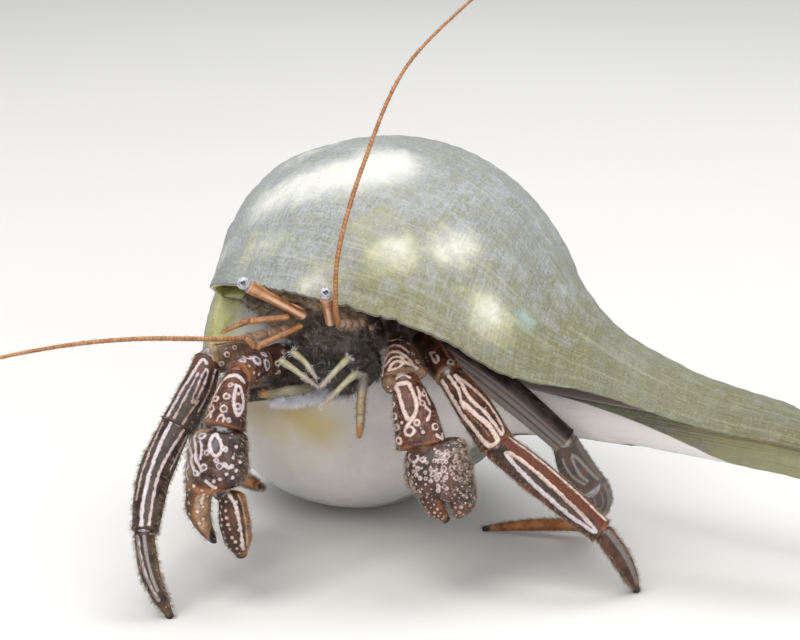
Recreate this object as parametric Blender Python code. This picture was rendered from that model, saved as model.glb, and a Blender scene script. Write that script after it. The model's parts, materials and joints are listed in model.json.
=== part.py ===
"""A hermit crab walking in a pear whelk shell, as a still, life-size model.

Lengths are in millimetres and become metres when a mesh is made.  +Z is up, the floor is
z = 0 and the origin is the centre of the small flat on which the shell rests.  The crab
looks towards -X -Y; "right" and "left" are the crab's own.
"""
import math

import bmesh
import bpy
import numpy as np

MM = 0.001
GAP = 0.3  # between neighbouring solids

# ---------------------------------------------------------------- the whelk shell
# The shell is a tube that grows by a constant ratio with every turn around its axis.
# alpha is the angle back from the lip; a profile point is (radius, height from the apex).
WHORL_GROWTH = 1.8
AXIS_YAW = math.radians(28.0)  # the canal points to +X, turned towards -Y
AXIS_PITCH = math.radians(6.0)  # and down
LIP_TURN = math.radians(28.0)  # the lip stands this far above the level of the axis
AXIS_POINT = np.array([9.5, -8.5, 26.65])  # a point of the axis ...
AXIS_POINT_HEIGHT = 36.0  # ... this far from the apex
SHOULDER = (35.9, 14.4)  # where one turn is covered by the next
LIP_PROFILE = [
    (SHOULDER[0] / WHORL_GROWTH, SHOULDER[1] / WHORL_GROWTH),
    (20.4, 5.9), (23.6, 4.9), (29.8, 7.6), SHOULDER, (40.6, 26.0), (41.8, 35.0), (40.6, 44.4),
    (36.4, 54.8), (28.4, 64.3), (18.9, 72.3), (11.6, 80.3), (7.6, 92.6), (5.5, 104.0), (4.3, 114.3),
]
CANAL_RADIUS = [(0.0, 0.0), (46.0, 0.0), (60.0, 9.6), (68.0, 10.6), (84.0, 7.0), (100.0, 5.6), (116.0, 3.8)]
CANAL_LIFT = [(62.0, 0.0), (85.0, 1.6), (100.0, 2.6), (116.0, 2.8)]
CANAL_UNDERSIDE = 4.8  # greatest radius of the canal's columella side
CANAL_TWIST = math.radians(12.0)
LIP_DIP = math.radians(5.0)
LIP_TUCK = 3.0  # the lip is drawn back at its shoulder
WALL = 1.6
STEPS_PER_TURN = 32
TURNS = 3
ROWS_PER_SPAN = 2  # rows of faces between two profile points
MOUTH_SPAN = 11.5  # profile spans that stay open, from the shoulder to the canal
CAVITY_ANGLE = 205.0  # degrees back from the lip to the end of the living space
CAVITY_RINGS = 10

# ---------------------------------------------------------------- the crab's own frame
EYES = np.array([-5.7, -37.4, 41.7])  # between the bases of the eyestalks
FORWARD = np.array([-0.66, -0.66, -0.36])
RIGHT = np.array([-0.7071, 0.7071, 0.0])
UP = np.cross(RIGHT, FORWARD)
VIEW_FACE = (0.0, -1.0, 0.25)  # the broad sides of claws and legs look this way

# Joints of the limbs, from the body outwards.
CHELIPED_RIGHT = [(-9.0, -33.0, 35.0), (-14.8, -37.8, 35.2), (-18.2, -43.4, 34.7), (-20.0, -48.0, 27.6)]
FINGER_RIGHT = [(-18.8, -51.2, 19.2), (-18.2, -52.3, 14.0), (-17.2, -52.4, 8.8)]
CHELIPED_LEFT = [(6.2, -34.8, 38.6), (7.2, -42.0, 33.8), (9.8, -46.6, 24.2)]
FINGER_LEFT = [(10.2, -49.5, 18.2), (11.6, -49.8, 15.8), (14.0, -49.6, 13.3)]
LEG_2_RIGHT = [(-4.6, -27.8, 35.6), (-13.0, -29.5, 33.2), (-23.6, -33.5, 34.5), (-28.0, -40.5, 25.3),
               (-31.6, -54.0, 13.4), (-28.0, -54.5, -0.4)]
LEG_2_LEFT = [(9.2, -31.4, 37.4), (14.2, -40.5, 33.7), (21.4, -44.0, 23.8), (37.4, -47.4, 11.0),
              (43.3, -44.0, -0.4)]
LEG_3_RIGHT = [(-5.0, -27.6, 30.2), (-22.4, -26.2, 27.0), (-25.4, -24.0, 19.0), (-19.0, -36.5, 16.4),
               (-14.6, -42.6, 16.6)]
LEG_3_LEFT = [(11.6, -28.0, 36.4), (33.0, -29.4, 19.6), (37.2, -27.4, 11.4), (36.0, -20.0, 2.2),
              (20.2, -17.4, 0.5)]
# The palm and its fixed finger: (centre of a slice, half width, half depth), from the wrist on.
PALM_RIGHT = [
    ((-20.3, -48.6, 27.2), 2.5, 1.5), ((-20.4, -48.9, 26.4), 3.9, 2.5), ((-20.8, -49.7, 24.4), 4.6, 3.0),
    ((-21.0, -50.4, 21.8), 4.7, 3.2), ((-21.2, -50.6, 20.6), 4.5, 2.9), ((-23.6, -50.9, 19.5), 2.1, 2.0),
    ((-23.8, -51.4, 16.2), 1.9, 1.7), ((-22.4, -51.5, 12.4), 1.1, 1.1), ((-21.6, -51.4, 11.0), 0.5, 0.5),
]
PALM_LEFT = [
    ((10.9, -47.3, 23.7), 3.4, 1.4), ((11.4, -47.6, 23.0), 4.7, 2.3), ((12.3, -48.3, 21.4), 5.3, 3.0),
    ((13.1, -48.9, 19.8), 5.4, 3.2), ((15.6, -49.3, 18.7), 3.0, 2.4), ((16.4, -49.5, 17.2), 2.5, 2.0),
    ((16.4, -49.6, 15.6), 2.2, 1.7), ((15.9, -49.5, 14.4), 1.5, 1.1), ((15.5, -49.4, 13.9), 0.6, 0.5),
]
EYE_RIGHT = [(-7.9, -36.9, 42.3), (-17.2, -39.5, 48.2)]
EYE_LEFT = [(-4.0, -40.3, 42.2), (-4.5, -47.9, 48.8)]
ANTENNULE_RIGHT = [(-10.3, -39.0, 42.8), (-16.4, -41.8, 42.9), (-18.2, -42.8, 42.4), (-20.3, -44.0, 41.6)]
ANTENNULE_LEFT = [(-8.4, -39.4, 41.6), (-15.2, -45.4, 39.8), (-16.4, -45.8, 41.2), (-17.4, -44.6, 41.1)]
PEDUNCLE_RIGHT = [(-10.2, -34.4, 39.6), (-14.0, -37.2, 39.6), (-17.3, -39.0, 39.4)]
PEDUNCLE_LEFT = [(0.7, -38.8, 42.2), (-0.8, -42.0, 42.5), (-2.5, -44.6, 43.2)]
FLAGELLUM_RIGHT = [(-17.8, -39.4, 39.5), (-21.5, -41.5, 40.0), (-33.0, -46.5, 41.4), (-44.0, -50.0, 41.2),
                   (-56.5, -53.0, 39.3), (-69.0, -55.5, 36.0)]
FLAGELLUM_LEFT = [(-2.8, -45.2, 43.8), (-3.0, -49.2, 48.0), (-2.4, -49.6, 56.0), (1.0, -44.8, 67.2),
                  (7.5, -37.8, 81.0), (19.5, -30.5, 92.0)]
MAXILLIPED_LEFT = [(1.0, -37.6, 33.6), (0.7, -39.4, 31.3), (0.5, -40.6, 29.1), (0.4, -41.0, 26.5),
                   (0.2, -40.4, 23.9)]
MAXILLIPED_RIGHT = [(-4.8, -35.6, 31.2), (-8.9, -37.9, 30.6), (-12.4, -39.2, 30.6), (-15.2, -40.6, 31.0)]
MOUTH_PALPS = {
    "palp_outer_right": [(-12.0, -40.4, 36.5), (-9.5, -40.8, 34.9), (-5.9, -41.0, 32.2)],
    "palp_inner_right": [(-10.2, -39.6, 37.6), (-8.0, -40.6, 36.1), (-6.1, -42.2, 33.8)],
    "palp_inner_left": [(-1.1, -40.2, 36.9), (-2.9, -41.8, 35.5), (-5.6, -43.4, 32.9)],
    "palp_outer_left": [(0.1, -39.8, 34.4), (-1.9, -41.4, 33.0), (-5.7, -42.4, 29.3)],
}

# Half widths and half depths along a segment: (share of its length, half width, half depth).
COXA_SIZE = [(0.0, 1.5, 1.4), (1.0, 2.0, 1.9)]
CLAW_ARM_SIZE = [(0.0, 1.9, 1.8), (0.55, 2.6, 2.3), (1.0, 2.1, 1.9)]
WRIST_RIGHT_SIZE = [(0.0, 1.8, 1.6), (0.5, 2.6, 2.2), (1.0, 3.2, 2.3)]
ARM_LEFT_SIZE = [(0.0, 1.7, 1.6), (0.5, 2.6, 2.1), (1.0, 3.5, 2.3)]
WRIST_LEFT_SIZE = [(0.0, 2.0, 1.7), (0.5, 3.3, 2.4), (1.0, 3.8, 2.4)]
UPPER_SIZE = [(0.0, 1.7, 1.5), (0.5, 2.5, 2.0), (1.0, 2.2, 1.8)]
CARPUS_SIZE = [(0.0, 2.1, 1.6), (0.5, 2.8, 2.1), (1.0, 2.7, 1.9)]
PROPODUS_SIZE = [(0.0, 2.4, 1.7), (0.35, 2.65, 2.0), (0.75, 2.4, 1.9), (1.0, 2.0, 1.6)]
DACTYL_SIZE = [(0.0, 1.5, 1.2), (0.35, 1.6, 1.2), (0.75, 1.2, 0.9), (1.0, 0.7, 0.7)]
THIN_DACTYL_SIZE = [(0.0, 1.2, 1.0), (0.4, 1.2, 1.0), (0.75, 0.9, 0.8), (1.0, 0.5, 0.5)]
FINGER_SIZE = [(0.0, 1.9, 1.6), (0.4, 2.15, 1.8), (0.75, 1.9, 1.4), (1.0, 0.9, 0.8)]
SHORT_FINGER_SIZE = [(0.0, 1.9, 1.5), (0.5, 1.8, 1.4), (1.0, 0.7, 0.7)]

DOME_ANGLES = (math.radians(32.0), math.radians(62.0))  # rings of a segment's rounded end
DOME_LENGTH = 0.8  # of the end's smaller radius
LIMB_SIDES = 9
ROD_STEPS = 2  # between two points of a feeler

MATERIALS = {
    "shell": ((0.42, 0.45, 0.34), 0.62),
    "crab_brown": ((0.16, 0.055, 0.03), 0.42),
    "crab_orange": ((0.52, 0.20, 0.07), 0.45),
    "crab_dark": ((0.055, 0.05, 0.045), 0.5),
    "crab_tan": ((0.30, 0.20, 0.12), 0.5),
    "crab_palp": ((0.45, 0.42, 0.25), 0.5),
    "crab_soft": ((0.36, 0.22, 0.17), 0.55),
    "eye": ((0.55, 0.60, 0.68), 0.15),
}


def smooth_step(value):
    value = np.clip(value, 0.0, 1.0)
    return value * value * (3.0 - 2.0 * value)


def curve_through(points, places):
    """A smooth curve through the points, read at places counted in points."""
    points = np.asarray(points, float)
    last = len(points) - 1
    start = np.clip(np.floor(places).astype(int), 0, last - 1)
    part = (np.asarray(places, float) - start)[:, None]
    before = points[np.maximum(start - 1, 0)]
    here = points[start]
    after = points[start + 1]
    beyond = points[np.minimum(start + 2, last)]
    bend = -before + 3.0 * here - 3.0 * after + beyond
    sweep = 2.0 * before - 5.0 * here + 4.0 * after - beyond
    return 0.5 * (2.0 * here + (after - before) * part + sweep * part ** 2 + bend * part ** 3)


def crab_point(forward, right, up):
    return EYES + forward * FORWARD + right * RIGHT + up * UP


class WhelkShell:
    """The growth surface: a point for every angle back from the lip and place on its profile."""

    def __init__(self):
        self.axis = np.array([
            math.cos(AXIS_PITCH) * math.cos(AXIS_YAW),
            -math.cos(AXIS_PITCH) * math.sin(AXIS_YAW),
            -math.sin(AXIS_PITCH),
        ])
        self.level = np.array([-math.sin(AXIS_YAW), -math.cos(AXIS_YAW), 0.0])
        self.upright = np.cross(self.level, self.axis)
        self.apex = AXIS_POINT - self.axis * AXIS_POINT_HEIGHT
        self.dense = curve_through(LIP_PROFILE, np.linspace(0.0, len(LIP_PROFILE) - 1, 400))
        lowest = int(self.dense[:, 1].argmin())
        self.dense = self.dense[lowest:]

    def place(self, radius, height, turn, lift=0.0):
        """The point at a radius, height and turn about the axis."""
        radius, height, turn, lift = np.broadcast_arrays(radius, height, turn, lift)
        around = np.cos(turn)[..., None] * self.level + np.sin(turn)[..., None] * self.upright
        centre = self.apex + height[..., None] * self.axis + lift[..., None] * self.upright
        return centre + radius[..., None] * around

    def section(self, alpha, places):
        """Radius and height of the profile at an angle back from the lip."""
        profile = curve_through(LIP_PROFILE, places)
        full = profile[:, 1] / LIP_PROFILE[-1][1]
        past_shoulder = places > 2.0
        stretch = smooth_step((full - 0.5) / 0.3) * past_shoulder
        growth = WHORL_GROWTH ** (-alpha / math.tau)
        height = profile[:, 1] * growth ** (1.0 - 0.93 * stretch)
        pure = growth * np.interp(height / growth, self.dense[:, 1], self.dense[:, 0], right=0.0)
        under = smooth_step((alpha - math.radians(75.0)) / math.radians(120.0))
        canal = np.interp(height, *np.transpose(CANAL_RADIUS))
        canal = canal * (1.0 - under) + np.minimum(canal, CANAL_UNDERSIDE) * under
        blended = np.cbrt(pure ** 3 + canal ** 3)
        radius = np.where(past_shoulder, blended, profile[:, 0] * growth)
        return radius, height

    def row(self, alpha, places, inset=0.0):
        """Points of the profile at one angle, moved towards the inside by inset."""
        radius, height = self.section(alpha, places)
        near_lip = np.clip(1.0 - alpha / (0.8 * math.tau), 0.0, 1.0)
        turn = LIP_TURN + alpha - CANAL_TWIST * smooth_step((height - 70.0) / 25.0) * near_lip
        turn -= LIP_DIP * np.exp(-((height - 66.0) / 8.0) ** 2) * near_lip
        shoulder = 1.0 - smooth_step((curve_through(LIP_PROFILE, places)[:, 1] - 6.0) / 30.0)
        tuck = LIP_TUCK * math.exp(-(alpha / math.radians(28.0)) ** 2) * shoulder
        tuck = tuck * smooth_step(places / 2.0)
        if inset:
            along_radius = np.gradient(radius)
            along_height = np.gradient(height)
            size = np.hypot(along_radius, along_height)
            radius = radius - inset * along_height / size
            height = height + inset * along_radius / size
        lift = np.interp(height, *np.transpose(CANAL_LIFT))
        return self.place(radius, height + tuck, turn, lift)


def new_collection(name):
    collection = bpy.data.collections.new(name)
    bpy.context.scene.collection.children.link(collection)
    return collection


def make_materials():
    for name, (colour, roughness) in MATERIALS.items():
        material = bpy.data.materials.new(name)
        material.use_nodes = True
        shader = material.node_tree.nodes["Principled BSDF"]
        shader.inputs["Base Color"].default_value = (*colour, 1.0)
        shader.inputs["Roughness"].default_value = roughness
        shader.inputs["Metallic"].default_value = 0.0


def finish_mesh(name, material, mesh, collection):
    """Turn all faces outwards, cut what is under the floor flat, and put it in the model."""
    work = bmesh.new()
    work.from_mesh(mesh)
    everything = work.verts[:] + work.edges[:] + work.faces[:]
    bmesh.ops.bisect_plane(work, geom=everything, dist=1e-7, plane_co=(0, 0, 0), plane_no=(0, 0, 1),
                           clear_inner=True)
    open_edges = [edge for edge in work.edges if edge.is_boundary]
    if open_edges:
        bmesh.ops.holes_fill(work, edges=open_edges, sides=0)
    bmesh.ops.recalc_face_normals(work, faces=work.faces[:])
    work.to_mesh(mesh)
    work.free()
    mesh.shade_smooth()
    mesh.set_sharp_from_angle(angle=math.radians(50.0))
    mesh.materials.append(bpy.data.materials[material])
    piece = bpy.data.objects.new(name, mesh)
    collection.objects.link(piece)
    return piece


def loft(name, material, rings, collection):
    """A closed body through rings of points, with a flat cap on both ends."""
    rings = np.asarray(rings, float) * MM
    count = rings.shape[1]
    work = bmesh.new()
    rows = [[work.verts.new(point) for point in ring] for ring in rings]
    for lower, upper in zip(rows[:-1], rows[1:]):
        for k in range(count):
            nxt = (k + 1) % count
            work.faces.new((lower[k], lower[nxt], upper[nxt], upper[k]))
    work.faces.new(rows[0][::-1])
    work.faces.new(rows[-1])
    mesh = bpy.data.meshes.new(name)
    work.to_mesh(mesh)
    work.free()
    return finish_mesh(name, material, mesh, collection)


def path_rings(path, sizes, face=VIEW_FACE, cut_start=0.0, cut_end=0.0, sides=LIMB_SIDES):
    """Elliptic rings along a path, with rounded ends."""
    path = np.asarray(path, float)
    fine = curve_through(path, np.linspace(0.0, len(path) - 1.0, 40 * (len(path) - 1) + 1))
    travelled = np.concatenate(([0.0], np.cumsum(np.linalg.norm(np.diff(fine, axis=0), axis=1))))
    length = travelled[-1] - cut_start - cut_end
    share, width, depth = np.transpose(sizes)
    dome_start = DOME_LENGTH * min(width[0], depth[0])
    dome_end = DOME_LENGTH * min(width[-1], depth[-1])
    stations = []
    for angle in DOME_ANGLES:
        stations.append((dome_start * (1.0 - math.cos(angle)), width[0] * math.sin(angle),
                         depth[0] * math.sin(angle)))
    middle = length - dome_start - dome_end
    for part, half_width, half_depth in sizes:
        stations.append((dome_start + middle * part, half_width, half_depth))
    for angle in reversed(DOME_ANGLES):
        stations.append((length - dome_end * (1.0 - math.cos(angle)), width[-1] * math.sin(angle),
                         depth[-1] * math.sin(angle)))
    around = np.linspace(0.0, math.tau, sides, endpoint=False)
    rings = []
    for distance, half_width, half_depth in stations:
        where = cut_start + distance
        centre = np.array([np.interp(where, travelled, fine[:, axis]) for axis in range(3)])
        ahead = np.array([np.interp(where + 0.3, travelled, fine[:, axis]) for axis in range(3)])
        behind = np.array([np.interp(where - 0.3, travelled, fine[:, axis]) for axis in range(3)])
        tangent = (ahead - behind) / np.linalg.norm(ahead - behind)
        across = np.cross(face, tangent)
        across /= np.linalg.norm(across)
        normal = np.cross(tangent, across)
        rings.append([centre + half_width * math.cos(a) * across + half_depth * math.sin(a) * normal
                      for a in around])
    return rings


def slice_rings(slices, across, sides=12):
    """Elliptic rings that all lie across the same direction, for a form that leans aside."""
    across = np.array(across) / np.linalg.norm(across)
    normal = np.array([0.0, 1.0, 0.0])
    normal = normal - across * (normal @ across)
    normal /= np.linalg.norm(normal)
    around = np.linspace(0.0, math.tau, sides, endpoint=False)
    return [[np.array(centre) + half_width * math.cos(a) * across + half_depth * math.sin(a) * normal
             for a in around] for centre, half_width, half_depth in slices]


def joint_cut(joints, index, radius):
    """How far a segment stops short of a bent joint, so that rounded ends stay apart."""
    if index in (0, len(joints) - 1):
        return 0.0
    before = np.subtract(joints[index], joints[index - 1])
    after = np.subtract(joints[index + 1], joints[index])
    cosine = before @ after / (np.linalg.norm(before) * np.linalg.norm(after))
    half_bend = 0.5 * math.acos(max(-1.0, min(1.0, cosine)))
    return 0.5 * GAP + 1.15 * radius * (1.0 / math.cos(half_bend) - 1.0)


def limb(joints, segments, collection):
    """A chain of segments; each is (name, material, sizes, bow), bowed sideways at its middle."""
    for index, (name, material, sizes, bow) in enumerate(segments):
        start = np.array(joints[index])
        end = np.array(joints[index + 1])
        path = [start, 0.5 * (start + end) + np.array(bow), end]
        cut_start = joint_cut(joints, index, max(sizes[0][1:]))
        cut_end = joint_cut(joints, index + 1, max(sizes[-1][1:]))
        rings = path_rings(path, sizes, cut_start=cut_start, cut_end=cut_end)
        loft(name, material, rings, collection)


def rod(name, material, points, radii, collection):
    """A thin round feeler: a curve with a bevel and filled caps, thinner towards its tip."""
    curve = bpy.data.curves.new(name, "CURVE")
    curve.dimensions = "3D"
    curve.bevel_depth = MM
    curve.bevel_resolution = 1
    curve.use_fill_caps = True
    places = np.linspace(0.0, len(points) - 1.0, ROD_STEPS * (len(points) - 1) + 1)
    smooth = curve_through(points, places)
    spline = curve.splines.new("POLY")
    spline.points.add(len(smooth) - 1)
    for index, point in enumerate(smooth):
        spline.points[index].co = (*(point * MM), 1.0)
        spline.points[index].radius = float(np.interp(places[index] / places[-1], (0.0, 1.0), radii))
    guide = bpy.data.objects.new(name + "_guide", curve)
    bpy.context.scene.collection.objects.link(guide)
    graph = bpy.context.evaluated_depsgraph_get()
    mesh = bpy.data.meshes.new_from_object(guide.evaluated_get(graph))
    bpy.data.objects.remove(guide)
    mesh.name = name
    work = bmesh.new()
    work.from_mesh(mesh)
    bmesh.ops.remove_doubles(work, verts=work.verts[:], dist=1e-6)
    work.to_mesh(mesh)
    work.free()
    return finish_mesh(name, material, mesh, collection)


def build_shell(collection):
    """The outer form of three turns, with the mouth and the living space behind it."""
    shell = WhelkShell()
    spans = len(LIP_PROFILE) - 1
    rows = spans * ROWS_PER_SPAN
    covered = LIP_PROFILE.index(SHOULDER) * ROWS_PER_SPAN  # the row hidden by the next turn
    mouth_end = round(MOUTH_SPAN * ROWS_PER_SPAN)
    places = np.linspace(0.0, spans, rows + 1)
    step = math.tau / STEPS_PER_TURN
    last = TURNS * STEPS_PER_TURN
    work = bmesh.new()
    grid = {}
    for i in range(last, -1, -1):
        points = shell.row(i * step, places) * MM
        for j in range(rows + 1):
            if i > STEPS_PER_TURN and j > covered:
                continue
            if j == 0 and i + STEPS_PER_TURN <= last:
                grid[i, 0] = grid[i + STEPS_PER_TURN, covered]
            else:
                grid[i, j] = work.verts.new(points[j])
    for i in range(last):
        for j in range(rows if i < STEPS_PER_TURN else covered):
            work.faces.new((grid[i, j], grid[i + 1, j], grid[i + 1, j + 1], grid[i, j + 1]))

    # the tip of the spire
    tip = work.verts.new(shell.place(0.0, 0.6, 0.0) * MM)
    edge = [grid[i, 0] for i in range(last - STEPS_PER_TURN, last + 1)]
    edge += [grid[last, j] for j in range(1, covered)]
    for k, vertex in enumerate(edge):
        work.faces.new((vertex, edge[(k + 1) % len(edge)], tip))

    # the end of the canal, and the closed part of its slit
    work.faces.new([grid[i, rows] for i in range(STEPS_PER_TURN + 1)])
    turn = STEPS_PER_TURN
    for j in range(mouth_end, rows):
        work.faces.new((grid[0, j], grid[0, j + 1], grid[turn, j + 1], grid[turn, j]))

    # the mouth's rim and the space behind it
    outer = places[1:mouth_end + 1]
    inner = places[covered + 1:mouth_end + 1]
    previous = [grid[0, j] for j in range(mouth_end + 1)]
    previous += [grid[turn, j] for j in range(mouth_end, covered, -1)]
    for ring_index in range(CAVITY_RINGS):
        back = math.radians(CAVITY_ANGLE) * ring_index / (CAVITY_RINGS - 1)
        wall = WALL * (0.65 + 0.35 * smooth_step(ring_index / 3.0))
        outside = shell.row(back, outer, inset=wall)
        inside = shell.row(back + math.tau, inner, inset=-0.4 * GAP)[::-1]
        corner = 0.5 * (outside[0] + inside[-1])
        ring = np.vstack((corner, outside, inside))
        if ring_index == CAVITY_RINGS - 1:
            ring = ring.mean(axis=0) + 0.7 * (ring - ring.mean(axis=0))
        ring = [work.verts.new(point * MM) for point in ring]
        for k in range(len(ring)):
            nxt = (k + 1) % len(ring)
            work.faces.new((previous[k], ring[k], ring[nxt], previous[nxt]))
        previous = ring
    back_wall = work.verts.new(np.mean([vertex.co for vertex in previous], axis=0))
    for k, vertex in enumerate(previous):
        work.faces.new((vertex, back_wall, previous[(k + 1) % len(previous)]))
    mesh = bpy.data.meshes.new("shell")
    work.to_mesh(mesh)
    work.free()
    finish_mesh("shell", "shell", mesh, collection)
    return shell


def body_loft(name, material, sections, collection, sides=14):
    """A body part along the crab's length: sections of (forward, half width, top, bottom)."""
    rings = []
    for forward, half_width, top, bottom in sections:
        middle = 0.5 * (top + bottom)
        half_height = 0.5 * (top - bottom)
        ring = []
        for k in range(sides):
            angle = math.tau * k / sides
            ring.append(crab_point(forward, half_width * math.cos(angle),
                                   middle + half_height * math.sin(angle)))
        rings.append(ring)
    loft(name, material, rings, collection)


def build_body(shell, collection):
    body_loft("carapace_shield", "crab_tan", [
        (-0.9, 2.6, 2.0, 1.2), (-1.6, 5.2, 2.7, 0.9), (-4.0, 6.8, 3.4, 0.6), (-8.0, 7.1, 3.6, 0.6),
        (-11.0, 6.0, 3.3, 0.8), (-12.6, 3.6, 2.6, 1.2),
    ], collection)
    body_loft("carapace_rear", "crab_soft", [
        (-12.9, 2.8, 2.5, 1.4), (-13.8, 4.8, 3.0, 1.0), (-15.4, 4.6, 3.0, 1.1), (-16.4, 3.0, 2.6, 1.6),
    ], collection)
    body_loft("thorax", "crab_dark", [
        (-1.2, 2.4, -2.2, -5.6), (-2.2, 4.0, -0.8, -8.6), (-5.0, 4.7, 0.0, -10.2), (-9.0, 4.9, 0.2, -10.4),
        (-12.5, 4.6, 0.2, -9.6), (-15.0, 3.2, -1.0, -7.4),
    ], collection)
    tail = [crab_point(-15.4, 0.0, -4.0), crab_point(-18.4, 0.0, -3.2)]
    for turn, radius, height in ((70.0, 27.5, 38.5), (104.0, 27.4, 35.0), (136.0, 26.0, 31.5), (164.0, 24.8, 28.0)):
        tail.append(shell.place(radius, height, math.radians(turn)))
    abdomen = [(0.0, 2.8, 2.8), (0.12, 3.8, 3.8), (0.35, 4.9, 4.9), (0.55, 5.0, 5.0), (0.8, 4.0, 4.0),
               (1.0, 2.8, 2.8)]
    path = curve_through(tail, np.linspace(0.0, 4.4, 11))
    loft("abdomen", "crab_soft", path_rings(path, abdomen, face=tuple(shell.axis), sides=14), collection)
    fan = curve_through(tail, np.linspace(4.45, 5.0, 3))
    fan_size = [(0.0, 2.2, 1.0), (0.6, 3.0, 0.8), (1.0, 1.8, 0.6)]
    loft("tail_fan", "crab_tan", path_rings(fan, fan_size, face=tuple(shell.axis)), collection)
    for side, sign in (("right", 1.0), ("left", -1.0)):
        points = [crab_point(-13.5, 5.2 * sign, -3.0), crab_point(-16.0, 7.6 * sign, -2.2),
                  crab_point(-18.5, 8.6 * sign, -3.4)]
        rod("leg_4_" + side, "crab_brown", points, (0.9, 0.6), collection)


def build_head(collection):
    for side, joints in (("right", EYE_RIGHT), ("left", EYE_LEFT)):
        base, ball = np.array(joints)
        direction = (ball - base) / np.linalg.norm(ball - base)
        neck = ball - direction * (1.0 + GAP)
        sizes = [(0.0, 0.8, 0.75), (0.5, 0.75, 0.7), (1.0, 1.05, 1.0)]
        rings = path_rings([base, 0.5 * (base + neck), neck], sizes, sides=12)
        loft("eyestalk_" + side, "crab_orange", rings, collection)
        work = bmesh.new()
        bmesh.ops.create_uvsphere(work, u_segments=12, v_segments=8, radius=1.05 * MM)
        bmesh.ops.translate(work, verts=work.verts[:], vec=ball * MM)
        mesh = bpy.data.meshes.new("eye_" + side)
        work.to_mesh(mesh)
        work.free()
        finish_mesh("eye_" + side, "eye", mesh, collection)
    rod("antennule_right", "crab_orange", ANTENNULE_RIGHT, (0.55, 0.35), collection)
    rod("antennule_left", "crab_orange", ANTENNULE_LEFT, (0.55, 0.35), collection)
    rod("antenna_base_right", "crab_orange", PEDUNCLE_RIGHT, (0.9, 0.65), collection)
    rod("antenna_base_left", "crab_orange", PEDUNCLE_LEFT, (0.9, 0.65), collection)
    rod("antenna_right", "crab_orange", FLAGELLUM_RIGHT, (0.42, 0.28), collection)
    rod("antenna_left", "crab_orange", FLAGELLUM_LEFT, (0.42, 0.28), collection)
    third = [(0.0, 0.8, 0.8), (0.4, 0.8, 0.8), (1.0, 0.5, 0.5)]
    third_right = [(0.0, 1.0, 1.0), (0.5, 1.2, 1.2), (1.0, 0.6, 0.6)]
    loft("maxilliped_left", "crab_palp", path_rings(MAXILLIPED_LEFT, third), collection)
    loft("maxilliped_right", "crab_palp", path_rings(MAXILLIPED_RIGHT, third_right), collection)
    for name, points in MOUTH_PALPS.items():
        rod(name, "crab_palp", points, (0.6, 0.35), collection)


def build_claws(collection):
    straight = (0.0, 0.0, 0.0)
    limb(CHELIPED_RIGHT, [
        ("claw_right_ischium", "crab_dark", CLAW_ARM_SIZE, straight),
        ("claw_right_merus", "crab_brown", CLAW_ARM_SIZE, straight),
        ("claw_right_carpus", "crab_brown", WRIST_RIGHT_SIZE, (0.0, -0.5, 0.2)),
    ], collection)
    limb(CHELIPED_LEFT, [
        ("claw_left_merus", "crab_brown", ARM_LEFT_SIZE, (0.0, -0.4, 0.3)),
        ("claw_left_carpus", "crab_brown", WRIST_LEFT_SIZE, (0.2, -0.6, 0.2)),
    ], collection)
    loft("claw_right_palm", "crab_brown", slice_rings(PALM_RIGHT, (0.99, -0.1, -0.05)), collection)
    loft("claw_right_finger", "crab_orange", path_rings(FINGER_RIGHT, FINGER_SIZE), collection)
    loft("claw_left_palm", "crab_brown", slice_rings(PALM_LEFT, (0.99, -0.1, 0.12)), collection)
    loft("claw_left_finger", "crab_orange", path_rings(FINGER_LEFT, SHORT_FINGER_SIZE), collection)


def build_legs(collection):
    straight = (0.0, 0.0, 0.0)
    limb(LEG_2_RIGHT, [
        ("leg_2_right_ischium", "crab_dark", COXA_SIZE, straight),
        ("leg_2_right_merus", "crab_brown", UPPER_SIZE, (0.0, 0.0, 0.5)),
        ("leg_2_right_carpus", "crab_brown", CARPUS_SIZE, (0.8, 0.0, 0.3)),
        ("leg_2_right_propodus", "crab_brown", PROPODUS_SIZE, (-1.0, -0.6, 0.4)),
        ("leg_2_right_dactyl", "crab_brown", DACTYL_SIZE, (-0.9, -0.7, 0.0)),
    ], collection)
    limb(LEG_2_LEFT, [
        ("leg_2_left_merus", "crab_brown", UPPER_SIZE, (0.0, 0.0, 0.3)),
        ("leg_2_left_carpus", "crab_brown", CARPUS_SIZE, (0.2, -0.3, 0.3)),
        ("leg_2_left_propodus", "crab_brown", PROPODUS_SIZE, (0.2, -0.4, 0.2)),
        ("leg_2_left_dactyl", "crab_brown", DACTYL_SIZE, (0.4, -0.6, 0.4)),
    ], collection)
    limb(LEG_3_RIGHT, [
        ("leg_3_right_merus", "crab_brown", UPPER_SIZE, straight),
        ("leg_3_right_carpus", "crab_brown", CARPUS_SIZE, straight),
        ("leg_3_right_propodus", "crab_brown", PROPODUS_SIZE, (-0.5, 0.0, -0.4)),
        ("leg_3_right_dactyl", "crab_orange", THIN_DACTYL_SIZE, straight),
    ], collection)
    limb(LEG_3_LEFT, [
        ("leg_3_left_merus", "crab_brown", UPPER_SIZE, (0.4, 0.0, 0.5)),
        ("leg_3_left_carpus", "crab_brown", CARPUS_SIZE, (-0.6, 0.0, 0.0)),
        ("leg_3_left_propodus", "crab_brown", PROPODUS_SIZE, (1.8, 0.0, 0.6)),
        ("leg_3_left_dactyl", "crab_orange", THIN_DACTYL_SIZE, (0.0, 0.3, 0.2)),
    ], collection)


def build():
    for old in list(bpy.data.objects):
        bpy.data.objects.remove(old)
    make_materials()
    collection = new_collection("hermit_crab")
    shell = build_shell(collection)
    build_body(shell, collection)
    build_head(collection)
    build_claws(collection)
    build_legs(collection)


build()
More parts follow.
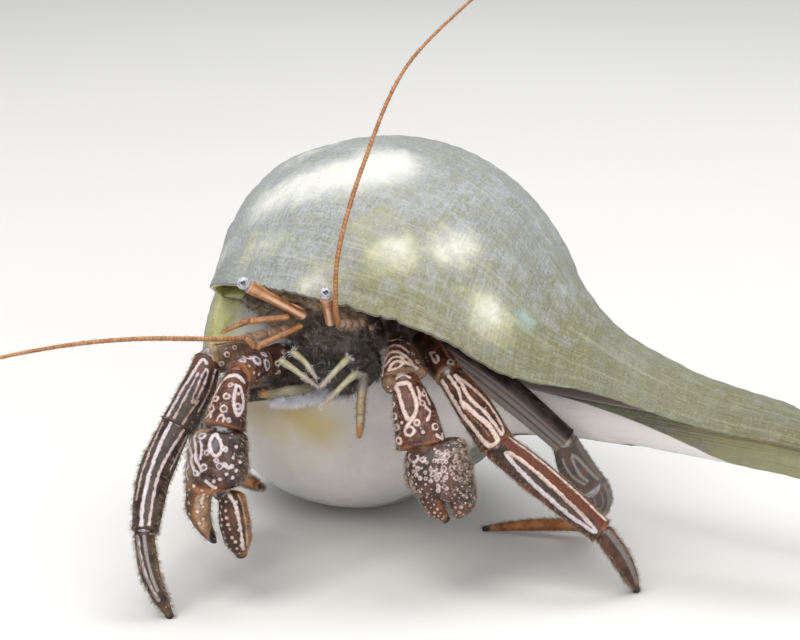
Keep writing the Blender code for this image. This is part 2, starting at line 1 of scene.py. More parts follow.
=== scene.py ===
"""Looks of the hermit crab in its pear whelk shell.

Lengths are in millimetres in the row's frame (+X towards the shell's canal, +Z up) and become
metres when a mesh is made.  The crab looks towards -X -Y; right and left are its own.
"""

import json
from math import cos, pi, radians as deg, sin, sqrt, tau as TAU

import bpy
import numpy as np
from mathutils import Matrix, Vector

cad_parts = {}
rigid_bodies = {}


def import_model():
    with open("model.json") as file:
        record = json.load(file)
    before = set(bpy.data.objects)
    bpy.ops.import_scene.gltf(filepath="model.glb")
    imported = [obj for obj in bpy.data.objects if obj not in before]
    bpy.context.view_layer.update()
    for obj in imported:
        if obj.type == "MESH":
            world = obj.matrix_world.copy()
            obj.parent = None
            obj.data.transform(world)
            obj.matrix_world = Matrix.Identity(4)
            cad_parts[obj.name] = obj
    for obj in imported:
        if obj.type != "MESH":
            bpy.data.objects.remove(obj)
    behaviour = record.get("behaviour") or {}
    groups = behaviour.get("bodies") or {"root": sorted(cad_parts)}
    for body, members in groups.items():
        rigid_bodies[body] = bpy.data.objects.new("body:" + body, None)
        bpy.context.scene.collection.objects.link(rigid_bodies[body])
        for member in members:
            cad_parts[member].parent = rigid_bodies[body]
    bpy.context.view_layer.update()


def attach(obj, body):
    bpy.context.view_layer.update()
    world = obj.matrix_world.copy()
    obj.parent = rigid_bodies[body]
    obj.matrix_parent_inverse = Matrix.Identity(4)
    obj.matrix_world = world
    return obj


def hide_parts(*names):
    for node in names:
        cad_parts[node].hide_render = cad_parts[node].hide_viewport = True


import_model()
RNG = np.random.default_rng(11)
MM = 0.001
VIEW_FACE = (0.0, -1.0, 0.25)  # the broad sides of claws and legs look this way


def ramp(value, zero=0.0, full=1.0):
    """Goes smoothly from 0 at one value to 1 at the other, and stays there."""
    value = np.clip((value - zero) / (full - zero), 0.0, 1.0)
    return value * value * (3.0 - 2.0 * value)


def bell(value, middle, width):
    return np.exp(-((value - middle) / width) ** 2)


def unit(vectors):
    vectors = np.asarray(vectors, float)
    return vectors / np.linalg.norm(vectors, axis=-1, keepdims=True)


def travel(points):
    """The distance along a row of points, from its start."""
    return np.concatenate(([0.0], np.cumsum(np.linalg.norm(np.diff(points, axis=0), axis=1))))


def curve_through(points, places):
    """A smooth curve through the points, read at places counted in points."""
    points = np.asarray(points, float)
    last = len(points) - 1
    start = np.clip(np.floor(places).astype(int), 0, last - 1)
    part = (np.asarray(places, float) - start)[:, None]
    before, here = points[np.maximum(start - 1, 0)], points[start]
    after, beyond = points[start + 1], points[np.minimum(start + 2, last)]
    bend = -before + 3.0 * here - 3.0 * after + beyond
    sweep = 2.0 * before - 5.0 * here + 4.0 * after - beyond
    return 0.5 * (2.0 * here + (after - before) * part + sweep * part ** 2 + bend * part ** 3)


def finely(points, per_span):
    """The same curve with a number of steps between each two points."""
    spans = len(points) - 1
    return curve_through(points, np.linspace(0.0, spans, per_span * spans + 1))


def waves(values, count, low, high, seed):
    """A smooth random function of one number, from about -1 to 1."""
    rng = np.random.default_rng(seed)
    total = np.zeros_like(values)
    for frequency in np.geomspace(low, high, count):
        total += np.sin(values * TAU * frequency * rng.uniform(0.8, 1.2) + rng.uniform(0, TAU))
    return total / sqrt(count)


# ---------------------------------------------------------------- materials
class Surface:
    """A Principled material painted in layers; a text in place of a value reads that field."""

    def __init__(self, name, roughness=0.5, **sockets):
        self.material = bpy.data.materials.new(name)
        self.material.use_nodes = True
        self.tree = self.material.node_tree
        self.shader = self.tree.nodes["Principled BSDF"]
        for socket, value in {"Roughness": roughness, **sockets}.items():
            self.shader.inputs[socket.replace("_", " ")].default_value = value
        self.place = self.node("ShaderNodeTexCoord").outputs["Object"]
        self.colour = None

    def node(self, kind, inputs=None, **settings):
        node = self.tree.nodes.new(kind)
        for key, value in settings.items():
            setattr(node, key, value)
        for key, value in (inputs or {}).items():
            self.feed(node.inputs[key], value)
        return node

    def feed(self, socket, value):
        if isinstance(value, str):
            value = self.node("ShaderNodeAttribute", attribute_name=value).outputs["Fac"]
        if isinstance(value, bpy.types.NodeSocket):
            self.tree.links.new(value, socket)
        elif value is not None:
            if socket.type == "RGBA" and len(value) == 3:
                value = (*value, 1.0)
            socket.default_value = value

    def math(self, operation, first, second=None, clamp=False):
        return self.node("ShaderNodeMath", {0: first, 1: second}, operation=operation,
                         use_clamp=clamp).outputs[0]

    def noise(self, scale, detail, rough, vector=None):
        inputs = {"Vector": vector or self.place, "Scale": scale, "Detail": detail, "Roughness": rough}
        return self.node("ShaderNodeTexNoise", inputs).outputs["Fac"]

    def step(self, value, low, high, first=0.0, last=1.0):
        """Goes smoothly from the first output to the last between a low and a high value."""
        inputs = {"Value": value, "From Min": low, "From Max": high, "To Min": first, "To Max": last}
        return self.node("ShaderNodeMapRange", inputs, interpolation_type="SMOOTHSTEP").outputs[0]

    def mix(self, share, first, second):
        return self.node("ShaderNodeMix", {0: share, 6: first, 7: second}, data_type="RGBA").outputs[2]

    def over(self, share, colour):
        """Paints a layer of one colour over what is there."""
        self.colour = self.mix(share, self.colour, colour)

    def finish(self, height=None, depth=0.0, strength=1.0, roughness=None):
        self.feed(self.shader.inputs["Base Color"], self.colour)
        self.feed(self.shader.inputs["Roughness"], roughness)
        if height is not None:
            bump = self.node("ShaderNodeBump", {"Height": height, "Distance": depth, "Strength": strength})
            self.feed(self.shader.inputs["Normal"], bump.outputs[0])
        return self.material


def shell_material():
    """Grey-green weathered shell: growth lines, fine cords, bleached spots, glazed mouth."""
    paint = Surface("shell_surface", 0.55)
    uv = paint.node("ShaderNodeUVMap", uv_map="ShellUV").outputs[0]
    lines, coarse, cords, weave = (
        paint.noise(1.0, detail, rough,
                    paint.node("ShaderNodeMapping", {"Vector": uv, "Scale": (around, along, 1.0)}).outputs[0])
        for around, along, detail, rough in (
            (150.0, 9.0, 4.0, 0.6), (42.0, 3.5, 3.0, 0.6), (7.0, 190.0, 3.0, 0.6), (120.0, 150.0, 3.0, 0.65)))
    speckle, cloud, fine = (paint.noise(*numbers) for numbers in (
        (2600.0, 2.0, 0.6), (85.0, 4.0, 0.6), (330.0, 4.0, 0.65)))
    olive = paint.math("ADD", "olive", paint.step(fine, 0.35, 0.65, -0.28, 0.28), clamp=True)
    paint.colour = paint.mix(olive, (0.325, 0.335, 0.345), (0.15, 0.143, 0.056))
    for pattern, low, high, first, last, colour in (
            (cloud, 0.4, 0.66, 0.0, 0.62, (0.205, 0.205, 0.19)),
            (fine, 0.5, 0.75, 0.0, 0.4, (0.4, 0.41, 0.35)),
            (weave, 0.35, 0.62, 0.36, 0.0, (0.12, 0.122, 0.095)),
            (speckle, 0.5, 0.72, 0.0, 0.3, (0.48, 0.48, 0.43)),
            (lines, 0.5, 0.7, 0.0, 0.34, (0.45, 0.455, 0.39)),
            (cords, 0.52, 0.72, 0.0, 0.22, (0.4, 0.405, 0.33))):
        paint.over(paint.step(pattern, low, high, first, last), colour)
    streaks = paint.math("MULTIPLY", paint.step(coarse, 0.54, 0.66), paint.step(olive, 0.2, 0.8, 0.05, 0.34))
    paint.over(streaks, (0.43, 0.43, 0.33))
    paint.over(paint.step(olive, 0.3, 1.0, 0.0, 0.32), (0.15, 0.143, 0.045))
    edge = paint.step(fine, 0.3, 0.7, -0.16, 0.16)
    # Yellow halos around the bleached spots, and painted light: a brighter olive on the underside near the
    # canal's end.
    paint.over(paint.step(paint.math("ADD", "halo", edge), 0.14, 1.0, 0.0, 0.85), (0.42, 0.41, 0.215))
    paint.over(paint.step(paint.math("ADD", "white", edge), 0.08, 1.05), (0.62, 0.612, 0.55))
    paint.over("aqua", (0.33, 0.5, 0.45))
    glaze = paint.step(paint.math("ADD", "glaze", paint.step(cloud, 0.3, 0.7, -0.12, 0.12)), 0.3, 0.7)
    milk = paint.mix(paint.step(cloud, 0.35, 0.7), (0.62, 0.59, 0.575), (0.515, 0.49, 0.48))
    milk = paint.mix("canal", milk, (0.86, 0.815, 0.79))
    paint.over(glaze, paint.mix("stain", milk, (0.49, 0.375, 0.155)))
    paint.over("moss", paint.mix(paint.step(fine, 0.4, 0.6), (0.33, 0.33, 0.09), (0.47, 0.45, 0.2)))
    lining = paint.mix(paint.step(coarse, 0.35, 0.65), (0.39, 0.38, 0.13), (0.3, 0.27, 0.11))
    lining = paint.mix("posterior", (0.27, 0.225, 0.2), lining)
    # Painted shade: the mouth's lining turns near-black deeper inside.
    paint.over("inside", paint.mix("depth", lining, (0.08, 0.062, 0.052)))
    paint.over("rust", (0.35, 0.15, 0.045))
    matt = paint.math("MAXIMUM", glaze, "inside")
    height = paint.math("MULTIPLY", lines, 0.55)
    for pattern, weight in ((cords, 0.5), (coarse, 0.8), (weave, 0.7)):
        height = paint.math("ADD", height, paint.math("MULTIPLY", pattern, weight))
    height = paint.math("MULTIPLY", height, paint.step(matt, 0.0, 1.0, 1.0, 0.12))
    return paint.finish(height, 0.00035, 1.0, paint.step(matt, 0.0, 1.0, 0.58, 0.22))


def crab_material():
    """Glossy mahogany skin with cream lines, rings and dots; every field is written by Tube."""
    paint = Surface("crab_skin", 0.4, Specular_IOR_Level=0.3, Coat_Weight=0.04, Coat_Roughness=0.25)
    wobble, patch, grain, swell = (paint.noise(*numbers) for numbers in (
        (2600.0, 3.0, 0.6), (480.0, 4.0, 0.62), (6000.0, 2.0, 0.6), (1100.0, 2.0, 0.5)))

    def mottled(first, second, low=0.35, high=0.65, pattern=patch):
        return paint.mix(paint.step(pattern, low, high), first, second)

    cream = paint.math("ADD", "cream", paint.step(wobble, 0.3, 0.7, -0.08, 0.06))
    cream = paint.math("ADD", cream, paint.step(swell, 0.35, 0.65, -0.05, 0.07))
    paint.colour = mottled((0.026, 0.009, 0.006), (0.118, 0.035, 0.016), 0.36, 0.66)
    paint.over(paint.step(grain, 0.52, 0.78, 0.0, 0.22), (0.26, 0.13, 0.075))
    paint.over("red", mottled((0.09, 0.024, 0.012), (0.135, 0.042, 0.02), 0.3, 0.7, wobble))
    paint.over("warm", mottled((0.23, 0.075, 0.02), (0.43, 0.185, 0.062)))
    # Near-black layer: partly the skin's own dark colour, partly painted shade on limb bases and on the skin
    # under the shell's lip.
    paint.over("murk", mottled((0.016, 0.011, 0.008), (0.062, 0.046, 0.036)))
    paint.over("sand", mottled((0.19, 0.12, 0.066), (0.42, 0.31, 0.2), 0.3, 0.7))
    paint.over("ochre", (0.38, 0.205, 0.1))
    paint.over("grey", (0.26, 0.235, 0.215))
    lace = paint.math("MULTIPLY", "lace", paint.step(paint.noise(1500.0, 3.0, 0.7), 0.5, 0.62))
    paint.over(paint.math("MULTIPLY", lace, paint.step(cream, 0.1, 1.0, 1.0, 0.25)), (0.27, 0.215, 0.21))
    # Painted shadow: a dark edge just outside the raised cream marks, broken up by noise.
    rim = paint.step(cream, 0.1, 0.34, 0.6, 0.0)
    rim = paint.math("MULTIPLY", rim, paint.step(swell, 0.35, 0.65, 0.4, 1.0))
    paint.over(rim, (0.022, 0.008, 0.006))
    chalk = paint.mix("cool", (0.66, 0.515, 0.44), (0.54, 0.505, 0.55))
    chalk = paint.mix(paint.step(wobble, 0.34, 0.6, 0.6, 0.0), chalk, (0.28, 0.18, 0.14))
    # Painted shade: the cream marks are dimmed where the near-black layer lies, except on the cool marks.
    mark_shade = paint.math("MULTIPLY", "murk", paint.math("SUBTRACT", 0.7, "cool"), clamp=True)
    chalk = paint.mix(mark_shade, chalk, (0.15, 0.115, 0.1))
    paint.over(paint.step(cream, -0.02, 0.13, 1.0, 0.0), paint.mix(0.5, chalk, (0.21, 0.1, 0.065)))
    paint.over(paint.step(cream, -0.12, 0.02, 1.0, 0.0), chalk)
    paint.over(paint.math("MULTIPLY", "fuzz", paint.step(patch, 0.42, 0.6)), (0.34, 0.37, 0.4))
    paint.over("core", paint.mix("cool", (0.08, 0.042, 0.032), (0.105, 0.1, 0.115)))
    paint.over("horn", (0.01, 0.01, 0.013))
    height = paint.math("ADD", paint.math("MULTIPLY", wobble, 0.5), paint.math("MULTIPLY", grain, 0.3))
    return paint.finish(height, 0.00008, 0.8, paint.step(patch, 0.3, 0.7, 0.34, 0.52))


def plain_material(name, first, second, scale, roughness, light=(0.64, 0.61, 0.5), **sockets):
    """Two colours mingled by noise, for feelers, palps and soft skin."""
    paint = Surface(name, roughness, **sockets)
    paint.colour = paint.mix(paint.step(paint.noise(scale, 4.0, 0.6), 0.35, 0.65), first, second)
    dark = [0.35 * part for part in first]
    # The pale layer is a painted highlight on eyestalks, antennule rods and palps, and a plain pale tint
    # elsewhere.
    for field, colour in (("band", dark), ("pale", light), ("blue", (0.3, 0.36, 0.4)),
                          ("pink", (0.33, 0.24, 0.2)), ("amber", (0.33, 0.15, 0.03))):
        paint.over(field, colour)
    return paint.finish(paint.noise(scale * 6.0, 2.0, 0.6), 0.00004, 0.8)


def eye_material():
    paint = Surface("eye_cornea", 0.12, Coat_Weight=0.6, Coat_Roughness=0.05)
    blotch = paint.noise(2600.0, 3.0, 0.6)
    facets = paint.node("ShaderNodeTexVoronoi", {"Vector": paint.place, "Scale": 14000.0}).outputs["Distance"]
    paint.colour = paint.mix(paint.step(blotch, 0.4, 0.62), (0.52, 0.495, 0.505), (0.19, 0.2, 0.26))
    spot = paint.math("ADD", "pupil", paint.step(blotch, 0.3, 0.7, -0.22, 0.22))
    paint.over(paint.step(spot, 0.42, 0.58, 1.0, 0.0), (0.01, 0.012, 0.03))
    ring = paint.math("ABSOLUTE", paint.math("SUBTRACT", spot, 0.86))
    paint.over(paint.step(ring, 0.0, 0.12, 0.45, 0.0), (0.17, 0.21, 0.32))
    return paint.finish(facets, 0.00001, 0.3)


def hair_material(name, colour, tip):
    paint = Surface(name)
    paint.colour = paint.mix(paint.step(paint.noise(900.0, 2.0, 0.5), 0.35, 0.65), colour, tip)
    return paint.finish()


# ---------------------------------------------------------------- meshes
class Mesh:
    """Collects points, faces and named fields, and becomes one object."""

    def __init__(self):
        self.points, self.fields, self.faces, self.uvs = [], [], [], []
        self.count = 0

    def add(self, points, faces, fields=None, uvs=None):
        points = np.asarray(points, float).reshape(-1, 3)
        for group, uv in zip(faces, uvs or [None] * len(faces)):
            self.faces.append(group + self.count)
            self.uvs.append(np.zeros((*group.shape, 2)) if uv is None else uv)
        self.points.append(points)
        self.fields.append((len(points), fields or {}))
        self.count += len(points)

    def become(self, name, slot, material, replaces=(), uv_name=None):
        points = np.concatenate(self.points) * MM
        points[:, 2] = np.maximum(points[:, 2], 0.0)
        mesh = bpy.data.meshes.new(name)
        mesh.vertices.add(len(points))
        mesh.vertices.foreach_set("co", points.astype(np.float32).ravel())
        loops = np.concatenate([group.ravel() for group in self.faces])
        sizes = np.concatenate([np.full(len(group), group.shape[1]) for group in self.faces])
        mesh.loops.add(len(loops))
        mesh.loops.foreach_set("vertex_index", loops.astype(np.int32))
        mesh.polygons.add(len(sizes))
        starts = np.concatenate(([0], np.cumsum(sizes)[:-1]))
        mesh.polygons.foreach_set("loop_start", starts.astype(np.int32))
        mesh.update(calc_edges=True)
        mesh.validate()
        for key in sorted({key for _, fields in self.fields for key in fields}):
            values = np.concatenate([np.broadcast_to(fields.get(key, 0.0), count)
                                     for count, fields in self.fields])
            mesh.attributes.new(key, "FLOAT", "POINT").data.foreach_set("value", values.astype(np.float32))
        if uv_name:
            uvs = np.concatenate([group.reshape(-1, 2) for group in self.uvs])
            mesh.uv_layers.new(name=uv_name).uv.foreach_set("vector", uvs.astype(np.float32).ravel())
        mesh.shade_smooth()
        mesh.materials.append(material)
        piece = bpy.data.objects.new(name, mesh)
        bpy.context.scene.collection.objects.link(piece)
        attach(piece, "root")
        if replaces:
            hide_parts(*replaces)


def grid_faces(rows, columns):
    """Quads of a grid of points whose last column joins the first."""
    first = np.arange(rows - 1)[:, None] * columns
    here = np.arange(columns)[None, :]
    after = (here + 1) % columns
    return np.stack([first + here, first + after, first + columns + after, first + columns + here],
                    axis=-1).reshape(-1, 4)


def end_fans(rows, columns):
    """Triangles that close both ends of such a grid, with two points that follow it."""
    here = np.arange(columns)
    after = (here + 1) % columns
    shift = (rows - 1) * columns
    low = np.stack([np.full(columns, rows * columns), after, here], axis=-1)
    high = np.stack([np.full(columns, rows * columns + 1), shift + here, shift + after], axis=-1)
    return np.vstack((low, high))


# ---------------------------------------------------------------- the whelk shell
WHORL_GROWTH = 1.8
AXIS_YAW, AXIS_PITCH = deg(28.0), deg(6.0)
LIP_TURN, LIP_DIP, LIP_TUCK = deg(28.0), deg(5.0), 3.0
AXIS_POINT = np.array([9.5, -8.5, 26.65])
AXIS_POINT_HEIGHT = 36.0
SHOULDER = (35.9, 14.4)
LIP_PROFILE = [
    (SHOULDER[0] / WHORL_GROWTH, SHOULDER[1] / WHORL_GROWTH),
    (20.4, 5.9), (23.6, 4.9), (29.8, 7.6), SHOULDER, (40.6, 26.0), (41.8, 35.0), (40.6, 44.4),
    (36.4, 54.8), (28.4, 64.3), (18.9, 72.3), (11.6, 80.3), (7.6, 92.6), (5.5, 104.0), (4.3, 114.3),
]
CANAL_RADIUS = [(0.0, 0.0), (46.0, 0.0), (60.0, 9.6), (68.0, 10.6), (84.0, 7.0), (100.0, 5.6), (116.0, 3.8)]
CANAL_LIFT = [(62.0, 0.0), (85.0, 1.6), (100.0, 2.6), (116.0, 2.8)]
CANAL_UNDERSIDE = 4.8
CANAL_TWIST = deg(12.0)
WALL = 1.6
LIP_SHARE = 0.65  # the lip's thickness, as a share of the wall
GROOVE_DEPTH = 1.7  # of the slit along the canal
CORD_SPACING = 3.4
MOUTH_SPAN = 11.5
CAVITY_ANGLE = deg(205.0)
SHELL_STEPS = 300  # around one turn
SHELL_TURNS = 3
SHELL_SPAN_ROWS = 18  # between two profile points
MOUTH_RINGS = 56
CLOSING_RINGS = 5  # the last of them, which draw together
OUTSIDE, LINING, SLIT = range(3)  # the kinds of the shell's surface


class WhelkShell:
    """The growth surface: a point for every angle back from the lip and place on its profile."""

    def __init__(self):
        self.axis = np.array([cos(AXIS_PITCH) * cos(AXIS_YAW), -cos(AXIS_PITCH) * sin(AXIS_YAW),
                              -sin(AXIS_PITCH)])
        self.level = np.array([-sin(AXIS_YAW), -cos(AXIS_YAW), 0.0])
        self.upright = np.cross(self.level, self.axis)
        self.apex = AXIS_POINT - self.axis * AXIS_POINT_HEIGHT
        self.dense = curve_through(LIP_PROFILE, np.linspace(0.0, len(LIP_PROFILE) - 1, 400))
        self.dense = self.dense[int(self.dense[:, 1].argmin()):]

    def place(self, radius, height, turn, lift=0.0):
        radius, height, turn, lift = (value[..., None]
                                      for value in np.broadcast_arrays(radius, height, turn, lift))
        around = np.cos(turn) * self.level + np.sin(turn) * self.upright
        return self.apex + height * self.axis + lift * self.upright + radius * around

    def on_axis(self, points):
        return self.apex + ((points - self.apex) @ self.axis)[:, None] * self.axis

    def section(self, alpha, places):
        profile = curve_through(LIP_PROFILE, places)
        full = profile[:, 1] / LIP_PROFILE[-1][1]
        past_shoulder = places > 2.0
        stretch = ramp(full, 0.5, 0.8) * past_shoulder
        growth = WHORL_GROWTH ** (-alpha / TAU)
        height = profile[:, 1] * growth ** (1.0 - 0.93 * stretch)
        pure = growth * np.interp(height / growth, self.dense[:, 1], self.dense[:, 0], right=0.0)
        under = ramp(alpha, deg(75.0), deg(195.0))
        canal = np.interp(height, *np.transpose(CANAL_RADIUS))
        canal = canal * (1.0 - under) + np.minimum(canal, CANAL_UNDERSIDE) * under
        radius = np.where(past_shoulder, np.cbrt(pure ** 3 + canal ** 3), profile[:, 0] * growth)
        return radius, height

    def row(self, alpha, places, inset=0.0):
        """Points of the profile at one angle, moved towards the inside by inset."""
        alpha = alpha + self.ragged(places) * (1.0 - ramp(alpha, 0.0, deg(9.0)))
        radius, height = self.section(alpha, places)
        near_lip = np.clip(1.0 - alpha / (0.8 * TAU), 0.0, 1.0)
        turn = LIP_TURN + alpha - CANAL_TWIST * ramp(height, 70.0, 95.0) * near_lip
        turn -= LIP_DIP * bell(height, 66.0, 8.0) * near_lip
        shoulder = 1.0 - ramp(curve_through(LIP_PROFILE, places)[:, 1], 6.0, 36.0)
        tuck = LIP_TUCK * bell(alpha, 0.0, deg(28.0)) * shoulder * ramp(places, 0.0, 2.0)
        if inset:
            along_radius, along_height = np.gradient(radius), np.gradient(height)
            size = np.hypot(along_radius, along_height)
            radius = radius - inset * along_height / size
            height = height + inset * along_radius / size
        lift = np.interp(height, *np.transpose(CANAL_LIFT))
        return self.place(radius, height + tuck, turn, lift)

    def ragged(self, places):
        """The worn lip: how far each place of it stands back, as an angle."""
        along = places * 10.0
        chips = 0.55 * waves(along, 8, 0.05, 0.45, 3) + 0.25 * waves(along, 8, 0.4, 1.2, 4)
        return deg(1.0) * (0.35 + 0.55 * np.abs(chips)) * ramp(places, 4.0, 5.0)


# Marks on the shell: two ends, radius and strength.
WHITE_MARKS = [
    ((-14.4, -20.2, 57.0), (-8.4, -21.8, 60.1), 4.4, 0.9),
    ((-8.4, -21.8, 60.1), (-1.0, -22.8, 62.2), 5.4, 1.05),
    ((-1.0, -23.0, 62.2), (4.4, -21.8, 63.1), 5.4, 1.12), ((5.6, -38.2, 53.3), (6.4, -38.4, 52.8), 3.2, 0.62),
    ((13.9, -37.0, 53.2), (16.0, -35.6, 53.8), 3.8, 0.66),
    ((10.2, -37.8, 52.8), (10.8, -37.8, 52.6), 1.8, 0.36),
    ((19.9, -41.6, 44.6), (19.6, -42.6, 43.6), 3.4, 0.62),
    ((-7.6, -39.9, 48.4), (-6.0, -40.2, 48.8), 2.0, 0.58),
    ((-15.8, -28.7, 51.3), (-13.5, -30.0, 52.0), 3.0, 0.38),
    ((-22.6, -18.5, 47.6), (-21.0, -20.5, 48.5), 2.8, 0.55),
    ((-12.0, -10.0, 63.0), (-4.0, -8.0, 66.5), 3.0, 0.7),
]
HALO_MARKS = [
    ((4.5, -39.0, 52.2), (7.0, -38.4, 52.6), 4.0, 0.75), ((12.0, -37.6, 53.0), (17.0, -35.8, 53.6), 4.0, 0.5),
    ((19.3, -42.3, 45.4), (20.3, -42.3, 42.4), 4.2, 0.8),
    ((-16.0, -28.0, 50.8), (-12.0, -29.5, 52.5), 4.4, 0.45),
    ((1.0, -35.0, 56.0), (5.0, -34.0, 57.5), 3.6, 0.45),
    ((-7.6, -39.9, 48.4), (-4.0, -40.3, 49.4), 4.0, 0.45),
]
AQUA_MARKS = [((25.4, -39.5, 43.0), (26.0, -39.5, 42.3), 1.2, 0.5)]
MOSS_MARKS = [((-21.5, -12.5, 41.0), (-23.5, -14.5, 33.0), 5.0, 1.1)]
STAIN_MARKS = [
    ((-11.0, -24.6, 23.5), (-6.5, -25.0, 20.5), 4.0, 0.9),
    ((-17.5, -21.0, 23.0), (-13.0, -23.0, 20.5), 4.0, 0.6),
    ((-14.5, -21.5, 16.0), (-9.0, -23.5, 14.5), 4.0, 0.22),
]


def marked(points, marks):
    """The strength at each point of soft spots and streaks drawn between two ends."""
    total = np.zeros(len(points))
    for start, end, radius, strength in marks:
        start, end = np.array(start), np.array(end)
        along = np.clip((points - start) @ (end - start) / ((end - start) @ (end - start)), 0.0, 1.0)
        away = np.linalg.norm(points - start - along[:, None] * (end - start), axis=1)
        total = np.maximum(total, strength * np.exp(-(away / radius) ** 2 * 0.9))
    return total


def vertex_normals(points, groups):
    normals = np.zeros_like(points)
    for faces in groups:
        a, b, c, d = (points[faces[:, k]] for k in (0, 1, 2, -1))
        face = np.cross(c - a, d - b if faces.shape[1] == 4 else c - b)
        for k in range(faces.shape[1]):
            for axis in range(3):
                normals[:, axis] += np.bincount(faces[:, k], face[:, axis], len(points))
    return normals / np.maximum(np.linalg.norm(normals, axis=1, keepdims=True), 1e-12)


class ShellSkin(WhelkShell):
    """The shell's closed mesh, with the relief and the fields of its surface."""

    def __init__(self):
        super().__init__()
        self.spans = len(LIP_PROFILE) - 1
        self.rows = self.spans * SHELL_SPAN_ROWS
        self.places = np.linspace(0.0, self.spans, self.rows + 1)
        self.covered = LIP_PROFILE.index(SHOULDER) * SHELL_SPAN_ROWS
        self.mouth_end = round(MOUTH_SPAN * SHELL_SPAN_ROWS)
        self.arc = travel(curve_through(LIP_PROFILE, self.places))
        self.found, self.quads, self.uvs, self.triangles = [], [], [], []
        self.count = 0
        self.build_outside()
        self.build_canal()
        self.build_mouth()

    def put(self, points, alpha, place, kind):
        """Adds points with their angle, place on the profile and kind, and gives their numbers."""
        size = len(points)
        self.found.append(np.column_stack([points,
                                           *(np.broadcast_to(note, size) for note in (alpha, place, kind))]))
        self.count += size
        return np.arange(self.count - size, self.count)

    def so_far(self):
        return np.concatenate(self.found)[:, :3]

    def quad(self, a, b, c, d, uv=None):
        self.quads.append(np.stack([a, b, c, d], axis=-1).reshape(-1, 4))
        self.uvs.append(np.zeros((len(self.quads[-1]), 4, 2)) if uv is None else uv)

    def fan(self, ring, hub, turned=False):
        for vertex, after in zip(ring, np.roll(ring, -1)):
            self.triangles.append((vertex, hub, after) if turned else (vertex, after, hub))

    def build_outside(self):
        step, last = TAU / SHELL_STEPS, SHELL_TURNS * SHELL_STEPS
        ids = self.ids = np.full((last + 1, self.rows + 1), -1)
        for i in range(last, -1, -1):
            end = (self.rows if i <= SHELL_STEPS else self.covered) + 1
            low = 1 if i + SHELL_STEPS <= last else 0
            ids[i, low:end] = self.put(self.row(i * step, self.places)[low:end], i * step,
                                       self.places[low:end], OUTSIDE)
            if low:
                ids[i, 0] = ids[i + SHELL_STEPS, self.covered]
        u = np.arange(last + 1) * step * 0.4
        v = self.arc / 100.0
        for first, end, top in ((0, SHELL_STEPS, self.rows), (SHELL_STEPS, last, self.covered)):
            i, j = np.arange(first, end)[:, None], np.arange(top)[None, :]
            corners = [(i, j), (i + 1, j), (i + 1, j + 1), (i, j + 1)]
            uv = np.stack([np.stack(np.broadcast_arrays(u[a], v[b]), axis=-1) for a, b in corners], axis=-2)
            self.quad(*[ids[a, b] for a, b in corners], uv.reshape(-1, 4, 2))
        tip = self.put(self.place(np.array([0.0]), 0.6, 0.0), last * step, 0.0, OUTSIDE)[0]
        self.fan(np.concatenate((ids[last - SHELL_STEPS:, 0], ids[last, 1:self.covered])), tip)

    def build_canal(self):
        """A groove along the canal's slit, and a hollow at its end."""
        spread = np.arange(self.mouth_end, self.rows + 1)
        left, right = self.ids[0, spread], self.ids[SHELL_STEPS, spread]
        a, b = self.so_far()[left], self.so_far()[right]
        inward = unit(self.on_axis(a) - 0.5 * (a + b))
        previous = left
        fade = ramp(np.minimum((spread - self.mouth_end) / 14.0, (self.rows - spread) / 5.0))[:, None]
        for share in (0.12, 0.35, 0.65, 0.88):
            sunk = GROOVE_DEPTH * sin(pi * share) * fade * inward
            current = self.put(a + share * (b - a) + sunk, 0.0, self.places[spread], SLIT)
            self.quad(previous[:-1], previous[1:], current[1:], current[:-1])
            previous = current
        self.quad(previous[:-1], previous[1:], right[1:], right[:-1])
        previous = self.ids[:SHELL_STEPS + 1, self.rows]
        ring = self.so_far()[previous]
        centre = ring.mean(axis=0)
        for shrink, back in ((0.82, 0.0), (0.62, -1.2), (0.35, -2.4)):
            current = self.put(centre + shrink * (ring - centre) + back * self.axis, 0.0, self.spans, LINING)
            self.quad(previous[:-1], current[:-1], current[1:], previous[1:])
            self.quad(previous[-1:], current[-1:], current[:1], previous[:1])
            previous = current
        self.fan(previous, self.put(centre[None] - 2.8 * self.axis, 0.0, self.spans, LINING)[0], True)

    def build_mouth(self):
        """The mouth's rim and the space behind it, which ends in a blunt hollow."""
        outer = self.places[1:self.mouth_end + 1]
        inner = self.places[self.covered + 1:self.mouth_end + 1]
        spot = np.concatenate((outer[:1], outer, inner[::-1]))
        previous = np.concatenate((self.ids[0, :self.mouth_end + 1],
                                   self.ids[SHELL_STEPS, self.mouth_end:self.covered:-1]))
        for k in range(-1, MOUTH_RINGS):
            back = CAVITY_ANGLE * max(k, 0) / (MOUTH_RINGS - 1)
            wall = WALL * (LIP_SHARE + (1.0 - LIP_SHARE) * ramp(back, 0.0, deg(62.0)))
            if k < 0:
                wall = 0.45 * WALL * LIP_SHARE  # the rim's rounded edge
            outside = self.row(back - (deg(0.3) if k < 0 else 0.0), outer, wall)
            inside = self.row(back + TAU, inner, -0.12)[::-1]
            ring = np.vstack((0.5 * (outside[:1] + inside[-1:]), outside, inside))
            closing = k - MOUTH_RINGS + CLOSING_RINGS + 1
            if closing > 0:
                ring = ring.mean(axis=0) + (1.0 - 0.07 * closing) * (ring - ring.mean(axis=0))
            current = self.put(ring, back, spot, LINING)
            self.quad(previous, current, np.roll(current, -1), np.roll(previous, -1))
            previous = current
        hub = self.put(self.so_far()[previous].mean(axis=0)[None], CAVITY_ANGLE, 8.0, LINING)[0]
        self.fan(previous, hub, True)

